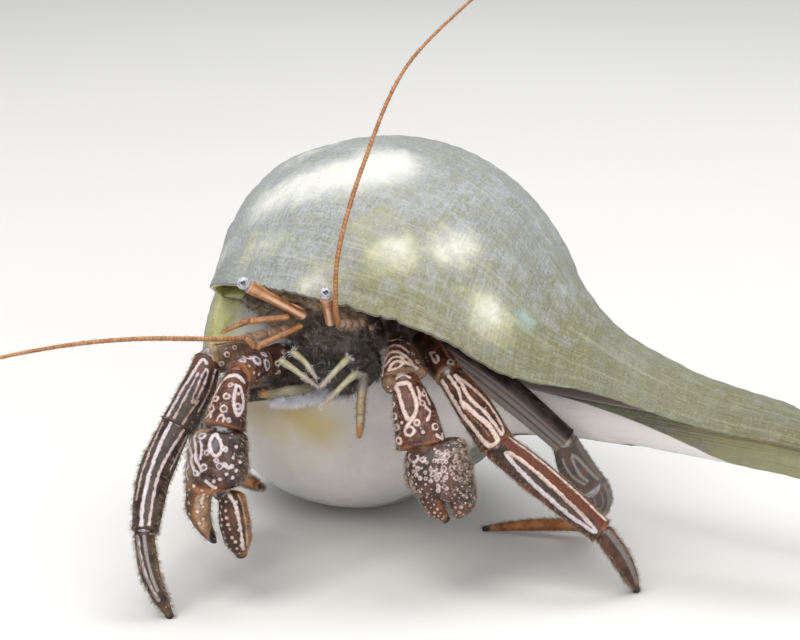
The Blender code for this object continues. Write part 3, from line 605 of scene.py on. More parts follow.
    def relief(self, points, degrees, spot):
        """Growth steps, low cords and dents."""
        steps = 0.11 * waves(degrees, 12, 0.012, 0.16, 5)
        cords = 0.05 * np.sin(TAU * np.interp(spot, self.places, self.arc) / CORD_SPACING)
        dents = 0.16 * waves(points @ np.array([0.5, 0.3, 0.8]), 5, 0.02, 0.12, 6) \
            * waves(points @ np.array([0.7, -0.6, 0.3]), 5, 0.02, 0.12, 7)
        height = (steps + cords + dents) * WHORL_GROWTH ** (-degrees / 360.0) * ramp(points[:, 2], 0.2, 1.7)
        height[self.ids[0]] = 0.0
        return height

    def become(self, material):
        found = np.concatenate(self.found)
        points, degrees, spot, kind = found[:, :3], np.degrees(found[:, 3]), found[:, 4], found[:, 5]
        quads, triangles, uvs = np.concatenate(self.quads), np.array(self.triangles), np.concatenate(self.uvs)
        normal = vertex_normals(points, [quads, triangles])
        outside, lining = kind == OUTSIDE, kind == LINING
        if np.median(np.sum(normal * (points - self.on_axis(points)), axis=1)[outside]) < 0.0:
            normal, quads, triangles, uvs = -normal, quads[:, ::-1], triangles[:, ::-1], uvs[:, ::-1]
        # The glazed underside lies from 236 to 362 degrees behind the lip, but towards its end the
        # canal is green all around.
        wrap = ramp(spot, 10.7, 13.3)
        glazed = ramp(degrees, 236.0, 281.0) * ramp(spot, 3.4, 4.3) * outside \
            * ramp(362.0 - 115.0 * wrap - degrees, 0.0, 4.0 + 30.0 * wrap)
        height = self.relief(points, degrees, spot) * outside * (1.0 - 0.85 * glazed)
        points = points + height[:, None] * normal
        olive = 0.1 + 0.9 * np.exp(-degrees / 30.0) + 0.65 * ramp(spot, 8.2, 11.2)
        fields = {
            "white": np.maximum(marked(points, WHITE_MARKS), 0.9 * ramp(degrees, 720.0, 800.0)) * outside,
            # Halos around the bleached spots; the second term is painted light on the underside near the
            # canal's end.
            "halo": np.maximum(marked(points, HALO_MARKS),
                               0.75 * ramp(spot, 10.8, 12.4) * ramp(degrees, 205.0, 255.0)) * outside,
            "aqua": marked(points, AQUA_MARKS) * outside,
            "olive": olive * ramp(spot, 4.0, 7.5),
            "stain": marked(points, STAIN_MARKS),
            "moss": marked(points, MOSS_MARKS) * outside * (degrees > 200.0),
            "glaze": glazed,
            "canal": glazed * ramp(spot, 8.6, 10.4),
            "inside": lining * 1.0,
            # Painted shade, from the lip to 45 degrees into the mouth.
            "depth": ramp(degrees, 0.0, 45.0) * lining,
            "posterior": ramp(spot, 6.2, 4.6) * lining,
            "rust": (kind == SLIT) * ramp(spot, 10.9, 11.3) * ramp(spot, 13.2, 12.4) * 0.85,
        }
        mesh = Mesh()
        mesh.add(points, [quads, triangles], fields, [uvs, None])
        mesh.become("shell_skin", "shell", material, ["shell"], "ShellUV")


# ---------------------------------------------------------------- jointed limbs
SKIN_STEP = 0.17  # between the skin's points
FAR_FROM_MARKS = 2.0
GRANULE_TRIES = 2600
COLLAR_ROWS = 14  # a segment is that many rows in from its end at full size


class Tube:
    """A rounded segment: an ellipse of changing size swept along a smooth path, with marks."""

    def __init__(self, path, sizes, face=VIEW_FACE, spacing=SKIN_STEP, domes=(0.8, 0.8)):
        self.follow(finely(path, 120), face)
        share, width, depth = np.transpose(sizes)
        ends = [dome * min(width[k], depth[k]) for dome, k in zip(domes, (0, -1))]
        cap = 1.0 - np.cos(np.radians(np.linspace(12.0, 90.0, 9)))
        middle = np.arange(ends[0] + spacing, self.length - ends[1] - 0.5 * spacing, spacing)
        self.along = np.concatenate((ends[0] * cap, middle, self.length - ends[1] * cap[::-1]))
        part = (self.along - ends[0]) / (self.length - ends[0] - ends[1])
        dome = 1.0
        for travelled, end in zip((self.along, self.length - self.along), ends):
            dome = dome * np.sqrt(1.0 - np.clip(1.0 - travelled / end, 0.0, 1.0) ** 2)
        around = max(24, int(TAU * max(width.max(), depth.max()) / spacing))
        self.sweep(self.rounded(part, share, width) * dome, self.rounded(part, share, depth) * dome, around)

    def follow(self, path, face):
        self.path, self.face = path, np.array(face)
        self.travelled = travel(path)
        self.length = self.travelled[-1]

    @staticmethod
    def rounded(part, share, size):
        """The size along the segment, eased between its stations."""
        places = np.linspace(-0.25, 1.25, 301)
        kernel = np.exp(-np.linspace(-2.2, 2.2, 31) ** 2)
        table = np.pad(np.interp(places, share, size), 15, mode="edge")
        table = np.convolve(table, kernel / kernel.sum(), mode="valid")
        return np.interp(np.clip(part, 0.0, 1.0), places, table)

    def frame(self, along):
        """Centre, direction, sideways and forward at distances along the path."""
        centre, ahead, behind = (
            np.stack([np.interp(along + shift, self.travelled, self.path[:, k]) for k in range(3)], axis=-1)
            for shift in (0.0, 0.25, -0.25))
        tangent = unit(ahead - behind)
        across = unit(np.cross(self.face, tangent))
        return centre, tangent, across, np.cross(tangent, across)

    def sweep(self, width, depth, around):
        self.width, self.depth = width, depth
        self.share = self.along / self.length
        self.angle = np.arange(around) * TAU / around
        centre, self.tangent, across, normal = self.frame(self.along)
        # Each point's share of the length, its place from side to side and from back to front.
        self.spots = np.broadcast_arrays(self.share[:, None], np.cos(self.angle)[None],
                                         np.sin(self.angle)[None])
        flat = self.spots[1][..., None] * width[:, None, None] * across[:, None]
        deep = self.spots[2][..., None] * depth[:, None, None] * normal[:, None]
        self.centre = centre
        self.points = centre[:, None] + flat + deep
        self.outward = unit(self.points - centre[:, None])
        self.height = np.zeros(self.points.shape[:2])
        self.fields = {"cream": np.full(self.height.shape, FAR_FROM_MARKS)}

    def at(self, share, side, back):
        """The surface point at a share of the length and from side to side (-1 to 1)."""
        along, side = np.atleast_1d(share) * self.length, np.clip(np.atleast_1d(side), -1.0, 1.0)
        centre, _, across, normal = self.frame(along)
        width = side * np.interp(along, self.along, self.width)
        depth = np.sqrt(1.0 - side ** 2) * back * np.interp(along, self.along, self.depth)
        return centre + width[:, None] * across + depth[:, None] * normal

    def distances(self, share, side, both=True):
        """How far every point is from these places, on the front and then on the back."""
        for back in (1.0, -1.0)[:2 if both else 1]:
            best = np.inf
            for place in self.at(share, side, back):
                best = np.minimum(best, np.sum((self.points - place) ** 2, axis=2))
            yield np.sqrt(best)

    def mark(self, away, relief):
        self.fields["cream"] = np.minimum(self.fields["cream"], away)
        self.height += relief

    def line(self, points, width=0.26, rise=0.06, both=True, key="cream"):
        """A raised line through (share, side) points, in cream or in another field."""
        dense = finely(points, 14)
        for away in self.distances(dense[:, 0], dense[:, 1], both):
            relief = rise * bell(away, 0.0, 0.75 * width)
            if key == "cream":
                self.mark(away - 0.5 * width, relief)
            else:
                self.height += relief
                self.tint(key, ramp(0.5 * width - away, -0.06, 0.06))

    def rings(self, places, width=0.24, rise=0.14, radius=0.45):
        """Ring tubercles: cream rims around dark eyelets, at (share, side) or (share, side, radius)."""
        for share, side, *own in places:
            size = own[0] if own else radius
            for away in self.distances(share, side):
                self.tint("core", ramp(size - 0.5 * width - away, -0.06, 0.06))
                self.mark(np.abs(away - size) - 0.5 * width,
                          rise * (bell(away, size, 0.8 * width) + 0.6 * bell(away, 0.0, 0.5 * size)))

    def dots(self, places, radius=0.22):
        for share, side, *own in places:
            size = own[0] if own else radius
            for away in self.distances(share, side):
                self.mark(away - size, 0.12 * bell(away, 0.0, size))

    def tint(self, key, value, share=(), side=(), front=()):
        """Raises a field to a value, fading it by pairs of places where it is zero and full."""
        for spot, limits in zip(self.spots, (share, side, front)):
            for zero, full in zip(limits[::2], limits[1::2]):
                value = value * ramp(spot, zero, full)
        self.fields[key] = np.maximum(self.fields.get(key, np.zeros(self.height.shape)), value)

    def collar(self, size=0.14):
        """The thickened amber rim at the far end of a hard segment."""
        rim = bell(self.along, self.length - 0.55, 0.32)[:, None]
        self.height += size * rim
        self.tint("warm", 0.28 * rim)

    def surface(self):
        return (self.points + self.height[..., None] * self.outward).reshape(-1, 3)

    def into(self, mesh):
        points = np.vstack((self.surface(), self.frame(np.array([0.0, self.length]))[0]))
        fields = {key: np.concatenate((value.ravel(), [value[0].mean(), value[-1].mean()]))
                  for key, value in self.fields.items()}
        mesh.add(points, [grid_faces(*self.height.shape), end_fans(*self.height.shape)], fields)


class Slices(Tube):
    """A form whose slices all lie across one direction: a palm with its finger, or the body."""

    def __init__(self, slices, across, upward, spacing=SKIN_STEP):
        self.follow(finely([place for place, _, _ in slices], 12), VIEW_FACE)
        across, upward = unit(across), np.array(upward)
        self.axes = (across, unit(upward - across * (upward @ across)))
        half = finely([(width, depth, 0.0) for _, width, depth in slices], 12)
        self.along = np.linspace(0.0, self.length, int(self.length / spacing) + 2)
        width, depth = (np.interp(self.along, self.travelled, half[:, k]) for k in (0, 1))
        self.sweep(width, depth, int(TAU * width.max() / spacing))

    def frame(self, along):
        centre, tangent, _, _ = super().frame(along)
        return (centre, tangent, *(np.broadcast_to(axis, centre.shape) for axis in self.axes))


def membrane(mesh, before, after, radius, **fields):
    """The soft skin between two segments, reaching a little into both."""
    path = [before.frame(np.array([place]))[0][0] for place in (before.length - 1.1 * radius, before.length)]
    path.append(after.frame(np.array([1.3 * radius]))[0][0])
    skin = Tube(path,
                [(0.0, 0.9 * radius, 0.9 * radius), (0.5, radius, radius), (1.0, 0.9 * radius, 0.9 * radius)],
                spacing=0.25)
    skin.height += 0.06 * np.sin(skin.along * 9.0)[:, None]
    for key, value in fields.items():
        skin.tint(key, value)
    skin.into(mesh)


def limb(joints, segments):
    """The chain of tubes through the joints; each segment is (sizes, bow of its middle)."""
    tubes = []
    for start, end, (sizes, bow) in zip(np.array(joints[:-1]), np.array(joints[1:]), segments):
        if tubes:
            start = start - 0.45 * sizes[0][1] * unit(end - start)
        tubes.append(Tube([start, 0.5 * (start + end) + np.array(bow), end], sizes, domes=(0.6, 0.32)))
    return tubes


def granules(tube, inside, spacing, radius, ring, rise):
    """Ring tubercles and dots strewn over a tube where inside is true, at least spacing apart."""
    flat, inside = tube.points.reshape(-1, 3), inside.ravel()
    chosen = []
    for index in RNG.permutation(len(flat))[:GRANULE_TRIES]:
        if not inside[index]:
            continue
        if chosen and np.min(np.linalg.norm(flat[chosen] - flat[index], axis=1)) < spacing:
            continue
        chosen.append(index)
        size = radius * RNG.uniform(0.75, 1.25)
        away = np.linalg.norm(tube.points - flat[index], axis=2)
        relief = rise * np.exp(-(away / size) ** 4)
        if RNG.random() < ring:
            tube.mark(np.abs(away - size) - 0.09, relief)
            tube.tint("core", ramp(size - 0.1 - away, -0.05, 0.05))
        else:
            tube.mark(away - 0.6 * size, relief)


def stipple(tube, count, radius, end=1.0):
    """Small pale dots strewn between the marks, up to a share of the length."""
    rows, columns = tube.height.shape
    for _ in range(count):
        row, column = RNG.integers(2, rows - 2), RNG.integers(columns)
        if tube.fields["cream"][row, column] < 0.35 or tube.share[row] >= end:
            continue
        away = np.linalg.norm(tube.points - tube.points[row, column], axis=2)
        size = radius * RNG.uniform(0.6, 1.3)
        tube.mark(away - size + 0.05, 0.06 * bell(away, 0.0, size))


BRISTLE = 0.017  # half thickness
PATCH = 0.003 * np.array([[0.0, 0.0], [0.5, 0.0], [1.0, 0.0], [0.0, 0.6], [0.5, 0.6], [1.0, 0.6], [0.5, 1.0]])
BRISTLE_SIDES = np.array([[k, (k + 1) % 3, 3 + (k + 1) % 3, 3 + k] for k in range(3)])
BRISTLE_ENDS = np.array([[3 + k, 3 + (k + 1) % 3, 6] for k in range(3)] + [[2, 1, 0]])


class Coat:
    """Closed three-sided bristles in bunches, each at its root's place on the skin's unwrap."""

    def __init__(self):
        self.mesh = Mesh()

    def add(self, roots, ways, lengths, radius, spot, bend=0.25):
        count = len(roots)
        ways = unit(ways)
        aside = unit(np.cross(ways, unit(RNG.normal(size=(count, 3)))))
        other = np.cross(ways, aside)
        lengths = lengths[:, None]
        curl = bend * (aside * RNG.uniform(-1, 1, (count, 1)) + other * RNG.uniform(-1, 1, (count, 1)))
        middle = roots + ways * lengths * 0.55 + curl * lengths * 0.25
        tips = roots + unit(ways + 1.2 * curl) * lengths
        rings = [centre + radius * size * (cos(angle) * aside + sin(angle) * other)
                 for centre, size in ((roots - 0.12 * ways, 1.0), (middle, 0.72))
                 for angle in (0.0, TAU / 3.0, 2.0 * TAU / 3.0)]
        base = np.arange(count)[:, None] * len(PATCH)
        quads, triangles = (np.concatenate([base + face for face in faces])
                            for faces in (BRISTLE_SIDES, BRISTLE_ENDS))
        corner = (np.clip(spot, 0.0, 0.996)[:, None] + PATCH).reshape(-1, 2)
        self.mesh.add(np.stack([*rings, tips], axis=1), [quads, triangles], {},
                      [corner[quads], corner[triangles]])

    def on(self, tube, count, inside, length, radius=BRISTLE, lean=0.7, bunch=3, spread=0.35):
        """Bunches over a tube where inside is true, leaning along it."""
        rows, columns = tube.height.shape
        weights = np.repeat(tube.width, columns) + 0.05
        found = RNG.choice(rows * columns, size=count * 3, p=weights / weights.sum())
        found = np.repeat(found[inside.ravel()[found]][:count], bunch)
        row, column = found // columns, found % columns
        outward = tube.outward[row, column]
        ways = outward + lean * tube.tangent[row] + spread * RNG.normal(size=outward.shape)
        roots = tube.surface()[found] + 0.06 * RNG.normal(size=outward.shape)
        lengths = RNG.uniform(0.55, 1.0, len(roots)) * length
        spot = np.stack([row / rows, column / columns], axis=-1)
        clear = roots[:, 2] + 1.3 * lengths * np.minimum(unit(ways)[:, 2], 0.0) > 0.1
        self.add(roots[clear], ways[clear], lengths[clear], radius, spot[clear])

    def become(self, name, slot, material):
        self.mesh.become(name, slot, material, uv_name="OFBake")


def everywhere(tube):
    return np.ones(tube.height.shape, bool)


def margins(tube):
    share, side, _ = tube.spots
    return (np.abs(side) > 0.66) & (share > 0.05) & (share < 0.97)


def fringe(tube):
    """Both edges of a leg's segment, and its back."""
    share, side, front = tube.spots
    return ((np.abs(side) > 0.6) | (front < -0.1)) & (share > 0.04)


# The sizes of segments: (share of the length, half width, half depth).
COXA_SIZE = [(0.0, 1.5, 1.4), (1.0, 2.0, 1.9)]
CLAW_ARM_SIZE = [(0.0, 1.9, 1.8), (0.55, 2.6, 2.3), (1.0, 2.1, 1.9)]
WRIST_RIGHT_SIZE = [(0.0, 1.8, 1.6), (0.5, 2.6, 2.2), (1.0, 3.2, 2.3)]
ARM_LEFT_SIZE = [(0.0, 1.7, 1.6), (0.5, 2.6, 2.1), (1.0, 3.5, 2.3)]
WRIST_LEFT_SIZE = [(0.0, 2.0, 1.7), (0.5, 3.3, 2.4), (1.0, 3.8, 2.4)]
UPPER_SIZE = [(0.0, 1.7, 1.5), (0.5, 2.5, 2.0), (1.0, 2.2, 1.8)]
CARPUS_SIZE = [(0.0, 2.1, 1.6), (0.5, 2.8, 2.1), (1.0, 2.7, 1.9)]
PROPODUS_SIZE = [(0.0, 2.4, 1.7), (0.35, 2.65, 2.0), (0.75, 2.4, 1.9), (1.0, 2.0, 1.6)]
DACTYL_SIZE = [(0.0, 1.5, 1.2), (0.35, 1.6, 1.2), (0.75, 1.2, 0.9), (1.0, 0.45, 0.45)]
THIN_DACTYL_SIZE = [(0.0, 1.05, 0.95), (0.4, 1.0, 0.9), (0.75, 0.75, 0.7), (1.0, 0.35, 0.35)]
FINGER_SIZE = [(0.0, 2.0, 1.6), (0.4, 2.4, 1.85), (0.75, 2.1, 1.5), (1.0, 0.8, 0.7)]
SHORT_FINGER_SIZE = [(0.0, 1.7, 1.5), (0.5, 1.55, 1.35), (1.0, 0.6, 0.6)]
CHELIPED_RIGHT = [(-9.0, -33.0, 35.0), (-14.8, -37.8, 35.2), (-18.2, -43.4, 34.7), (-20.0, -48.0, 27.6)]
CHELIPED_LEFT = [(6.2, -34.8, 38.6), (7.2, -42.0, 33.8), (9.8, -46.6, 24.2)]
FINGER_RIGHT = [(-18.8, -51.2, 19.2), (-18.2, -52.3, 14.0), (-17.2, -52.4, 8.8)]
FINGER_LEFT = [(10.6, -49.5, 18.9), (11.7, -49.8, 16.3), (13.8, -49.6, 13.6)]
LEG_2_RIGHT = [(-4.6, -27.8, 35.6), (-13.0, -29.5, 33.2), (-23.6, -33.5, 34.5), (-28.0, -40.5, 25.3),
               (-31.6, -54.0, 13.4), (-28.0, -54.5, 0.0)]
LEG_2_LEFT = [(9.2, -31.4, 37.4), (14.2, -40.5, 33.7), (21.4, -44.0, 23.8), (37.4, -47.4, 11.0),
              (43.3, -44.0, 0.0)]
LEG_3_RIGHT = [(-5.0, -27.6, 30.2), (-22.4, -26.2, 27.0), (-25.4, -24.0, 19.0), (-19.0, -36.5, 16.4),
               (-14.6, -42.6, 16.6)]
LEG_3_LEFT = [(11.6, -28.0, 36.4), (33.0, -29.4, 19.6), (37.2, -27.4, 11.4), (36.0, -20.0, 2.2),
              (20.2, -17.4, 0.5)]
STRAIGHT = (0.0, 0.0, 0.0)
# Slices from the wrist to the fixed finger's tip: centre, half width, half depth.
PALM_RIGHT = [
    ((-20.3, -48.4, 28.0), 0.8, 0.6), ((-20.3, -48.6, 27.7), 2.9, 1.7), ((-20.4, -48.9, 26.8), 4.1, 2.5),
    ((-20.8, -49.7, 24.4), 4.6, 3.0), ((-21.0, -50.4, 21.8), 4.7, 3.2), ((-21.4, -50.6, 20.4), 4.3, 2.8),
    ((-23.4, -50.9, 18.8), 2.2, 2.1), ((-23.8, -51.4, 16.2), 1.9, 1.7), ((-23.3, -51.5, 14.2), 1.5, 1.4),
    ((-22.4, -51.5, 12.4), 1.1, 1.1), ((-21.6, -51.4, 11.0), 0.5, 0.5), ((-21.5, -51.4, 10.8), 0.12, 0.12),
]
PALM_LEFT = [
    ((11.5, -46.9, 25.4), 1.0, 0.6), ((11.6, -47.0, 25.2), 3.7, 1.5), ((11.8, -47.3, 24.4), 4.6, 2.3),
    ((12.0, -47.9, 22.6), 4.9, 2.9), ((12.5, -48.6, 20.4), 5.1, 3.1), ((13.6, -49.1, 18.8), 4.2, 2.7),
    ((15.7, -49.4, 17.6), 2.4, 2.0), ((16.1, -49.6, 16.2), 1.9, 1.6), ((15.9, -49.5, 14.9), 1.3, 1.1),
    ((15.6, -49.4, 14.2), 0.6, 0.5), ((15.5, -49.4, 14.05), 0.15, 0.15),
]


# ---------------------------------------------------------------- claws
class Stub:
    """A straight stand-in for the end of a segment that a membrane comes out of."""

    length = 1.6

    def __init__(self, start, way):
        self.start, self.way = start, way

    def frame(self, along):
        return (self.start + along[:, None] * self.way,)


def finish_claw(side, skin, hair, tubes, hinge, membranes, tufts, lobes=()):
    """Joins a claw's segments; the last two are the palm and the finger hinged at a share of it.

    Each membrane is its radius and tints, and each tuft its number of bunches and their length.
    """
    mesh, coat = Mesh(), Coat()
    for tube in tubes[:-2]:
        stipple(tube, 60, 0.1)
        tube.collar()
    for lobe in lobes:
        stipple(lobe, 14, 0.12)
    for tube in (*tubes, *lobes):
        tube.into(mesh)
    palm = tubes[-2]
    row = int(np.interp(hinge, palm.share, np.arange(len(palm.share))))
    for before, after, (radius, fields) in zip(
            [*tubes[:-2], Stub(palm.centre[row], palm.tangent[row])], tubes[1:], membranes):
        membrane(mesh, before, after, radius, **fields)
    parts = ("ischium", "merus", "carpus", "palm", "finger")[-len(tubes):]
    mesh.become("claw_" + side, "crab_brown", skin, [f"claw_{side}_{part}" for part in parts])
    for tube, (count, length) in zip(tubes[-4:], tufts):
        coat.on(tube, count, margins(tube), length)
    coat.become("claw_bristles_" + side, "crab_tan", hair)


def mark_right_arm(ischium, merus, carpus):
    # Painted shade: darker towards the base, deep in the shell's mouth.
    ischium.tint("murk", 0.9 - 0.6 * ischium.spots[0])
    ischium.rings([(0.35, 0.3), (0.6, -0.4), (0.8, 0.2), (0.75, 0.8), (0.5, -0.9)], radius=0.3)
    merus.rings([(0.56, -0.25, 0.62), (0.3, 0.3, 0.7), (0.84, -0.72, 0.36), (0.2, -0.45, 0.4)], 0.42, 0.2)
    merus.line([(0.7, -0.9), (0.72, -0.7), (0.66, -0.55), (0.62, -0.62)], 0.36)
    merus.dots([(0.82, -0.2), (0.79, 0.35), (0.5, 0.8), (0.1, 0.0), (0.66, 0.55)])
    merus.tint("cool", 0.9)
    # Painted shade on the inner part, towards the shell.
    merus.tint("murk", 0.85, share=(0.55, 0.25))
    merus.tint("warm", 0.6, share=(0.66, 0.86), front=(0.0, 1.0))
    merus.tint("lace", 0.25)
    carpus.line([(0.72, -0.95), (0.57, -0.93), (0.42, -0.9), (0.28, -0.82), (0.19, -0.5), (0.16, -0.05),
                 (0.18, 0.4), (0.22, 0.66)], 0.56, 0.14)
    carpus.rings([(0.34, -0.2, 0.26), (0.52, -0.22, 0.42), (0.7, -0.18, 0.46), (0.57, -0.76, 0.36),
                  (0.73, -0.8, 0.44), (0.85, 0.18, 0.26)], 0.26)
    carpus.line([(0.9, -0.36), (0.84, -0.34), (0.8, -0.2), (0.83, -0.06), (0.9, -0.08)], 0.28, 0.1)
    carpus.line([(0.32, 0.19), (0.47, 0.19), (0.6, 0.26), (0.73, 0.5), (0.7, 0.68), (0.55, 0.77),
                 (0.42, 0.62), (0.34, 0.45), (0.32, 0.19)], 0.5, 0.12)
    carpus.rings([(0.62, 0.48, 0.42)], 0.3)
    carpus.dots([(0.45, 0.4, 0.26)])
    carpus.line([(0.88, -0.92), (0.8, -0.8), (0.86, -0.7)], 0.3)
    carpus.tint("cool", 0.7, side=(-0.3, 0.1))
    carpus.tint("sand", 0.4, side=(-0.55, -0.75), share=(0.7, 0.8))
    carpus.tint("lace", 0.15 + 0.5 * ramp(carpus.spots[1], -0.6, -0.8))


def mark_right_palm(palm):
    share, side, front = palm.spots
    palm.rings([(0.04, -0.66, 0.42)], 0.34, 0.2)
    palm.line([(0.015, -0.22), (0.05, -0.26), (0.09, -0.25), (0.14, -0.13), (0.165, 0.02), (0.14, 0.15),
               (0.1, 0.17), (0.06, 0.1), (0.03, -0.05), (0.015, -0.2)], 0.5, 0.2)
    palm.rings([(0.2, 0.07, 0.24), (0.24, 0.18, 0.42), (0.15, -0.28, 0.32), (0.26, -0.3, 0.4),
                (0.315, -0.55, 0.36), (0.115, 0.3, 0.26)], 0.28, 0.16)
    palm.line([(0.23, 0.34), (0.25, 0.46), (0.24, 0.56)], 0.62, 0.1)
    palm.line([(0.06, -0.92), (0.11, -0.78), (0.16, -0.66), (0.21, -0.62), (0.25, -0.48),
               (0.29, -0.36)], 0.46, 0.1)
    palm.line([(0.12, -0.99), (0.16, -0.92), (0.19, -0.78), (0.24, -0.77), (0.29, -0.64),
               (0.32, -0.48)], 0.5, 0.1)
    palm.line([(0.2, -1.0), (0.24, -0.93), (0.29, -0.85), (0.33, -0.92), (0.39, -0.85)], 0.44, 0.1)
    palm.line([(0.05, -0.74), (0.1, -0.56), (0.15, -0.48), (0.2, -0.46)], 0.36, 0.08)
    palm.dots([(0.18, 0.58), (0.28, 0.7), (0.22, 0.8), (0.3, 0.42), (0.33, 0.6), (0.1, 0.66), (0.36, 0.05),
               (0.34, 0.22)], 0.26)
    palm.line([(0.37, -0.2), (0.4, -0.02), (0.42, 0.18)], 0.5, 0.05)
    palm.dots([(0.43, -0.6), (0.47, -0.15), (0.5, -0.75), (0.56, -0.78), (0.58, 0.28), (0.62, -0.62),
               (0.64, 0.52), (0.68, 0.1), (0.71, -0.6), (0.74, 0.5), (0.78, 0.05), (0.55, 0.6)], 0.24)
    palm.line([(0.52, 0.2), (0.56, 0.34), (0.61, 0.4)], 0.44, 0.05)
    eyelet = 0.85 - ((share - 0.085) / 0.045) ** 2 - ((side + 0.05) / 0.13) ** 2
    palm.tint("core", ramp(eyelet, 0.0, 0.3) * (front > 0.0))
    shade = 1.2 - ((share - 0.58) / 0.08) ** 2 - ((side + 0.1) / 0.5) ** 2
    palm.tint("warm", 0.75 - 0.6 * ramp(shade), share=(0.42, 0.48))
    palm.tint("cool", 0.85, share=(0.44, 0.39))
    palm.tint("lace", 0.15 + 0.6 * ramp(side, -0.35, -0.65) + 0.35 * bell(side, 0.0, 0.25),
              share=(0.46, 0.36))
    palm.tint("murk", 0.4 + 0.35 * ramp(side, 0.25, 0.45), share=(0.44, 0.34))
    palm.tint("murk", 0.75, share=(0.46, 0.51), side=(-0.1, -0.45))
    palm.tint("sand", 0.55, share=(0.5, 0.4), side=(-0.55, -0.85))
    palm.tint("sand", 0.7, share=(0.5, 0.56), side=(-0.25, 0.05))
    palm.tint("horn", ramp(share + 0.12 * side, 0.93, 0.96))
    stipple(palm, 170, 0.1, 0.9)


def mark_right_finger(finger):
    share, side, _ = finger.spots
    finger.dots([(0.14, -0.4, 0.2), (0.26, -0.46, 0.18), (0.36, -0.44, 0.24), (0.45, -0.38, 0.22),
                 (0.51, -0.32, 0.17), (0.62, -0.28, 0.2), (0.69, -0.14, 0.2), (0.8, -0.24, 0.17),
                 (0.88, -0.18, 0.15)])
    finger.dots([(place, -0.8 + 0.06 * sin(40.0 * place), 0.17) for place in np.arange(0.12, 0.86, 0.085)])
    finger.dots([(place, 0.3 + 0.06 * sin(55.0 * place), 0.26) for place in np.arange(0.16, 0.84, 0.075)])
    finger.line([(0.02, -0.3), (0.1, 0.03), (0.18, 0.22), (0.31, 0.32), (0.45, 0.34), (0.62, 0.34),
                 (0.8, 0.3)], 0.42, 0.05)
    finger.line([(0.06, 0.6), (0.22, 0.72), (0.4, 0.72), (0.6, 0.7), (0.78, 0.64)], 0.34, 0.03, key="sand")
    finger.tint("cool", 0.35, side=(-0.1, 0.1))
    finger.tint("murk", 0.35)
    finger.tint("warm", 0.85, side=(0.62, 0.76))
    finger.tint("warm", 0.8, share=(0.84, 0.94))
    finger.tint("horn", ramp(share - 0.05 * side, 0.93, 0.96)
                + ramp(side, -0.8, -0.9) * ramp(share, 0.66, 0.74))


def build_right_claw(skin, hair):
    arm = limb(CHELIPED_RIGHT, [(CLAW_ARM_SIZE, STRAIGHT), (CLAW_ARM_SIZE, STRAIGHT),
                                (WRIST_RIGHT_SIZE, (0.0, -0.5, 0.2))])
    palm = Slices(PALM_RIGHT, (0.99, -0.1, -0.05), (0.0, -1.0, 0.0))
    finger = Tube(FINGER_RIGHT, FINGER_SIZE)
    mark_right_arm(*arm)
    mark_right_palm(palm)
    mark_right_finger(finger)
    membranes = ((1.4, {"murk": 0.7, "fuzz": 0.5}), (1.4, {"warm": 0.55, "fuzz": 0.3}),
                 (2.0, {"murk": 0.6, "fuzz": 0.7}), (1.4, {"murk": 0.5, "fuzz": 0.7}))
    finish_claw("right", skin, hair, [*arm, palm, finger], 0.36, membranes,
                ((120, 0.6), (300, 0.7), (700, 0.8), (260, 0.5)))


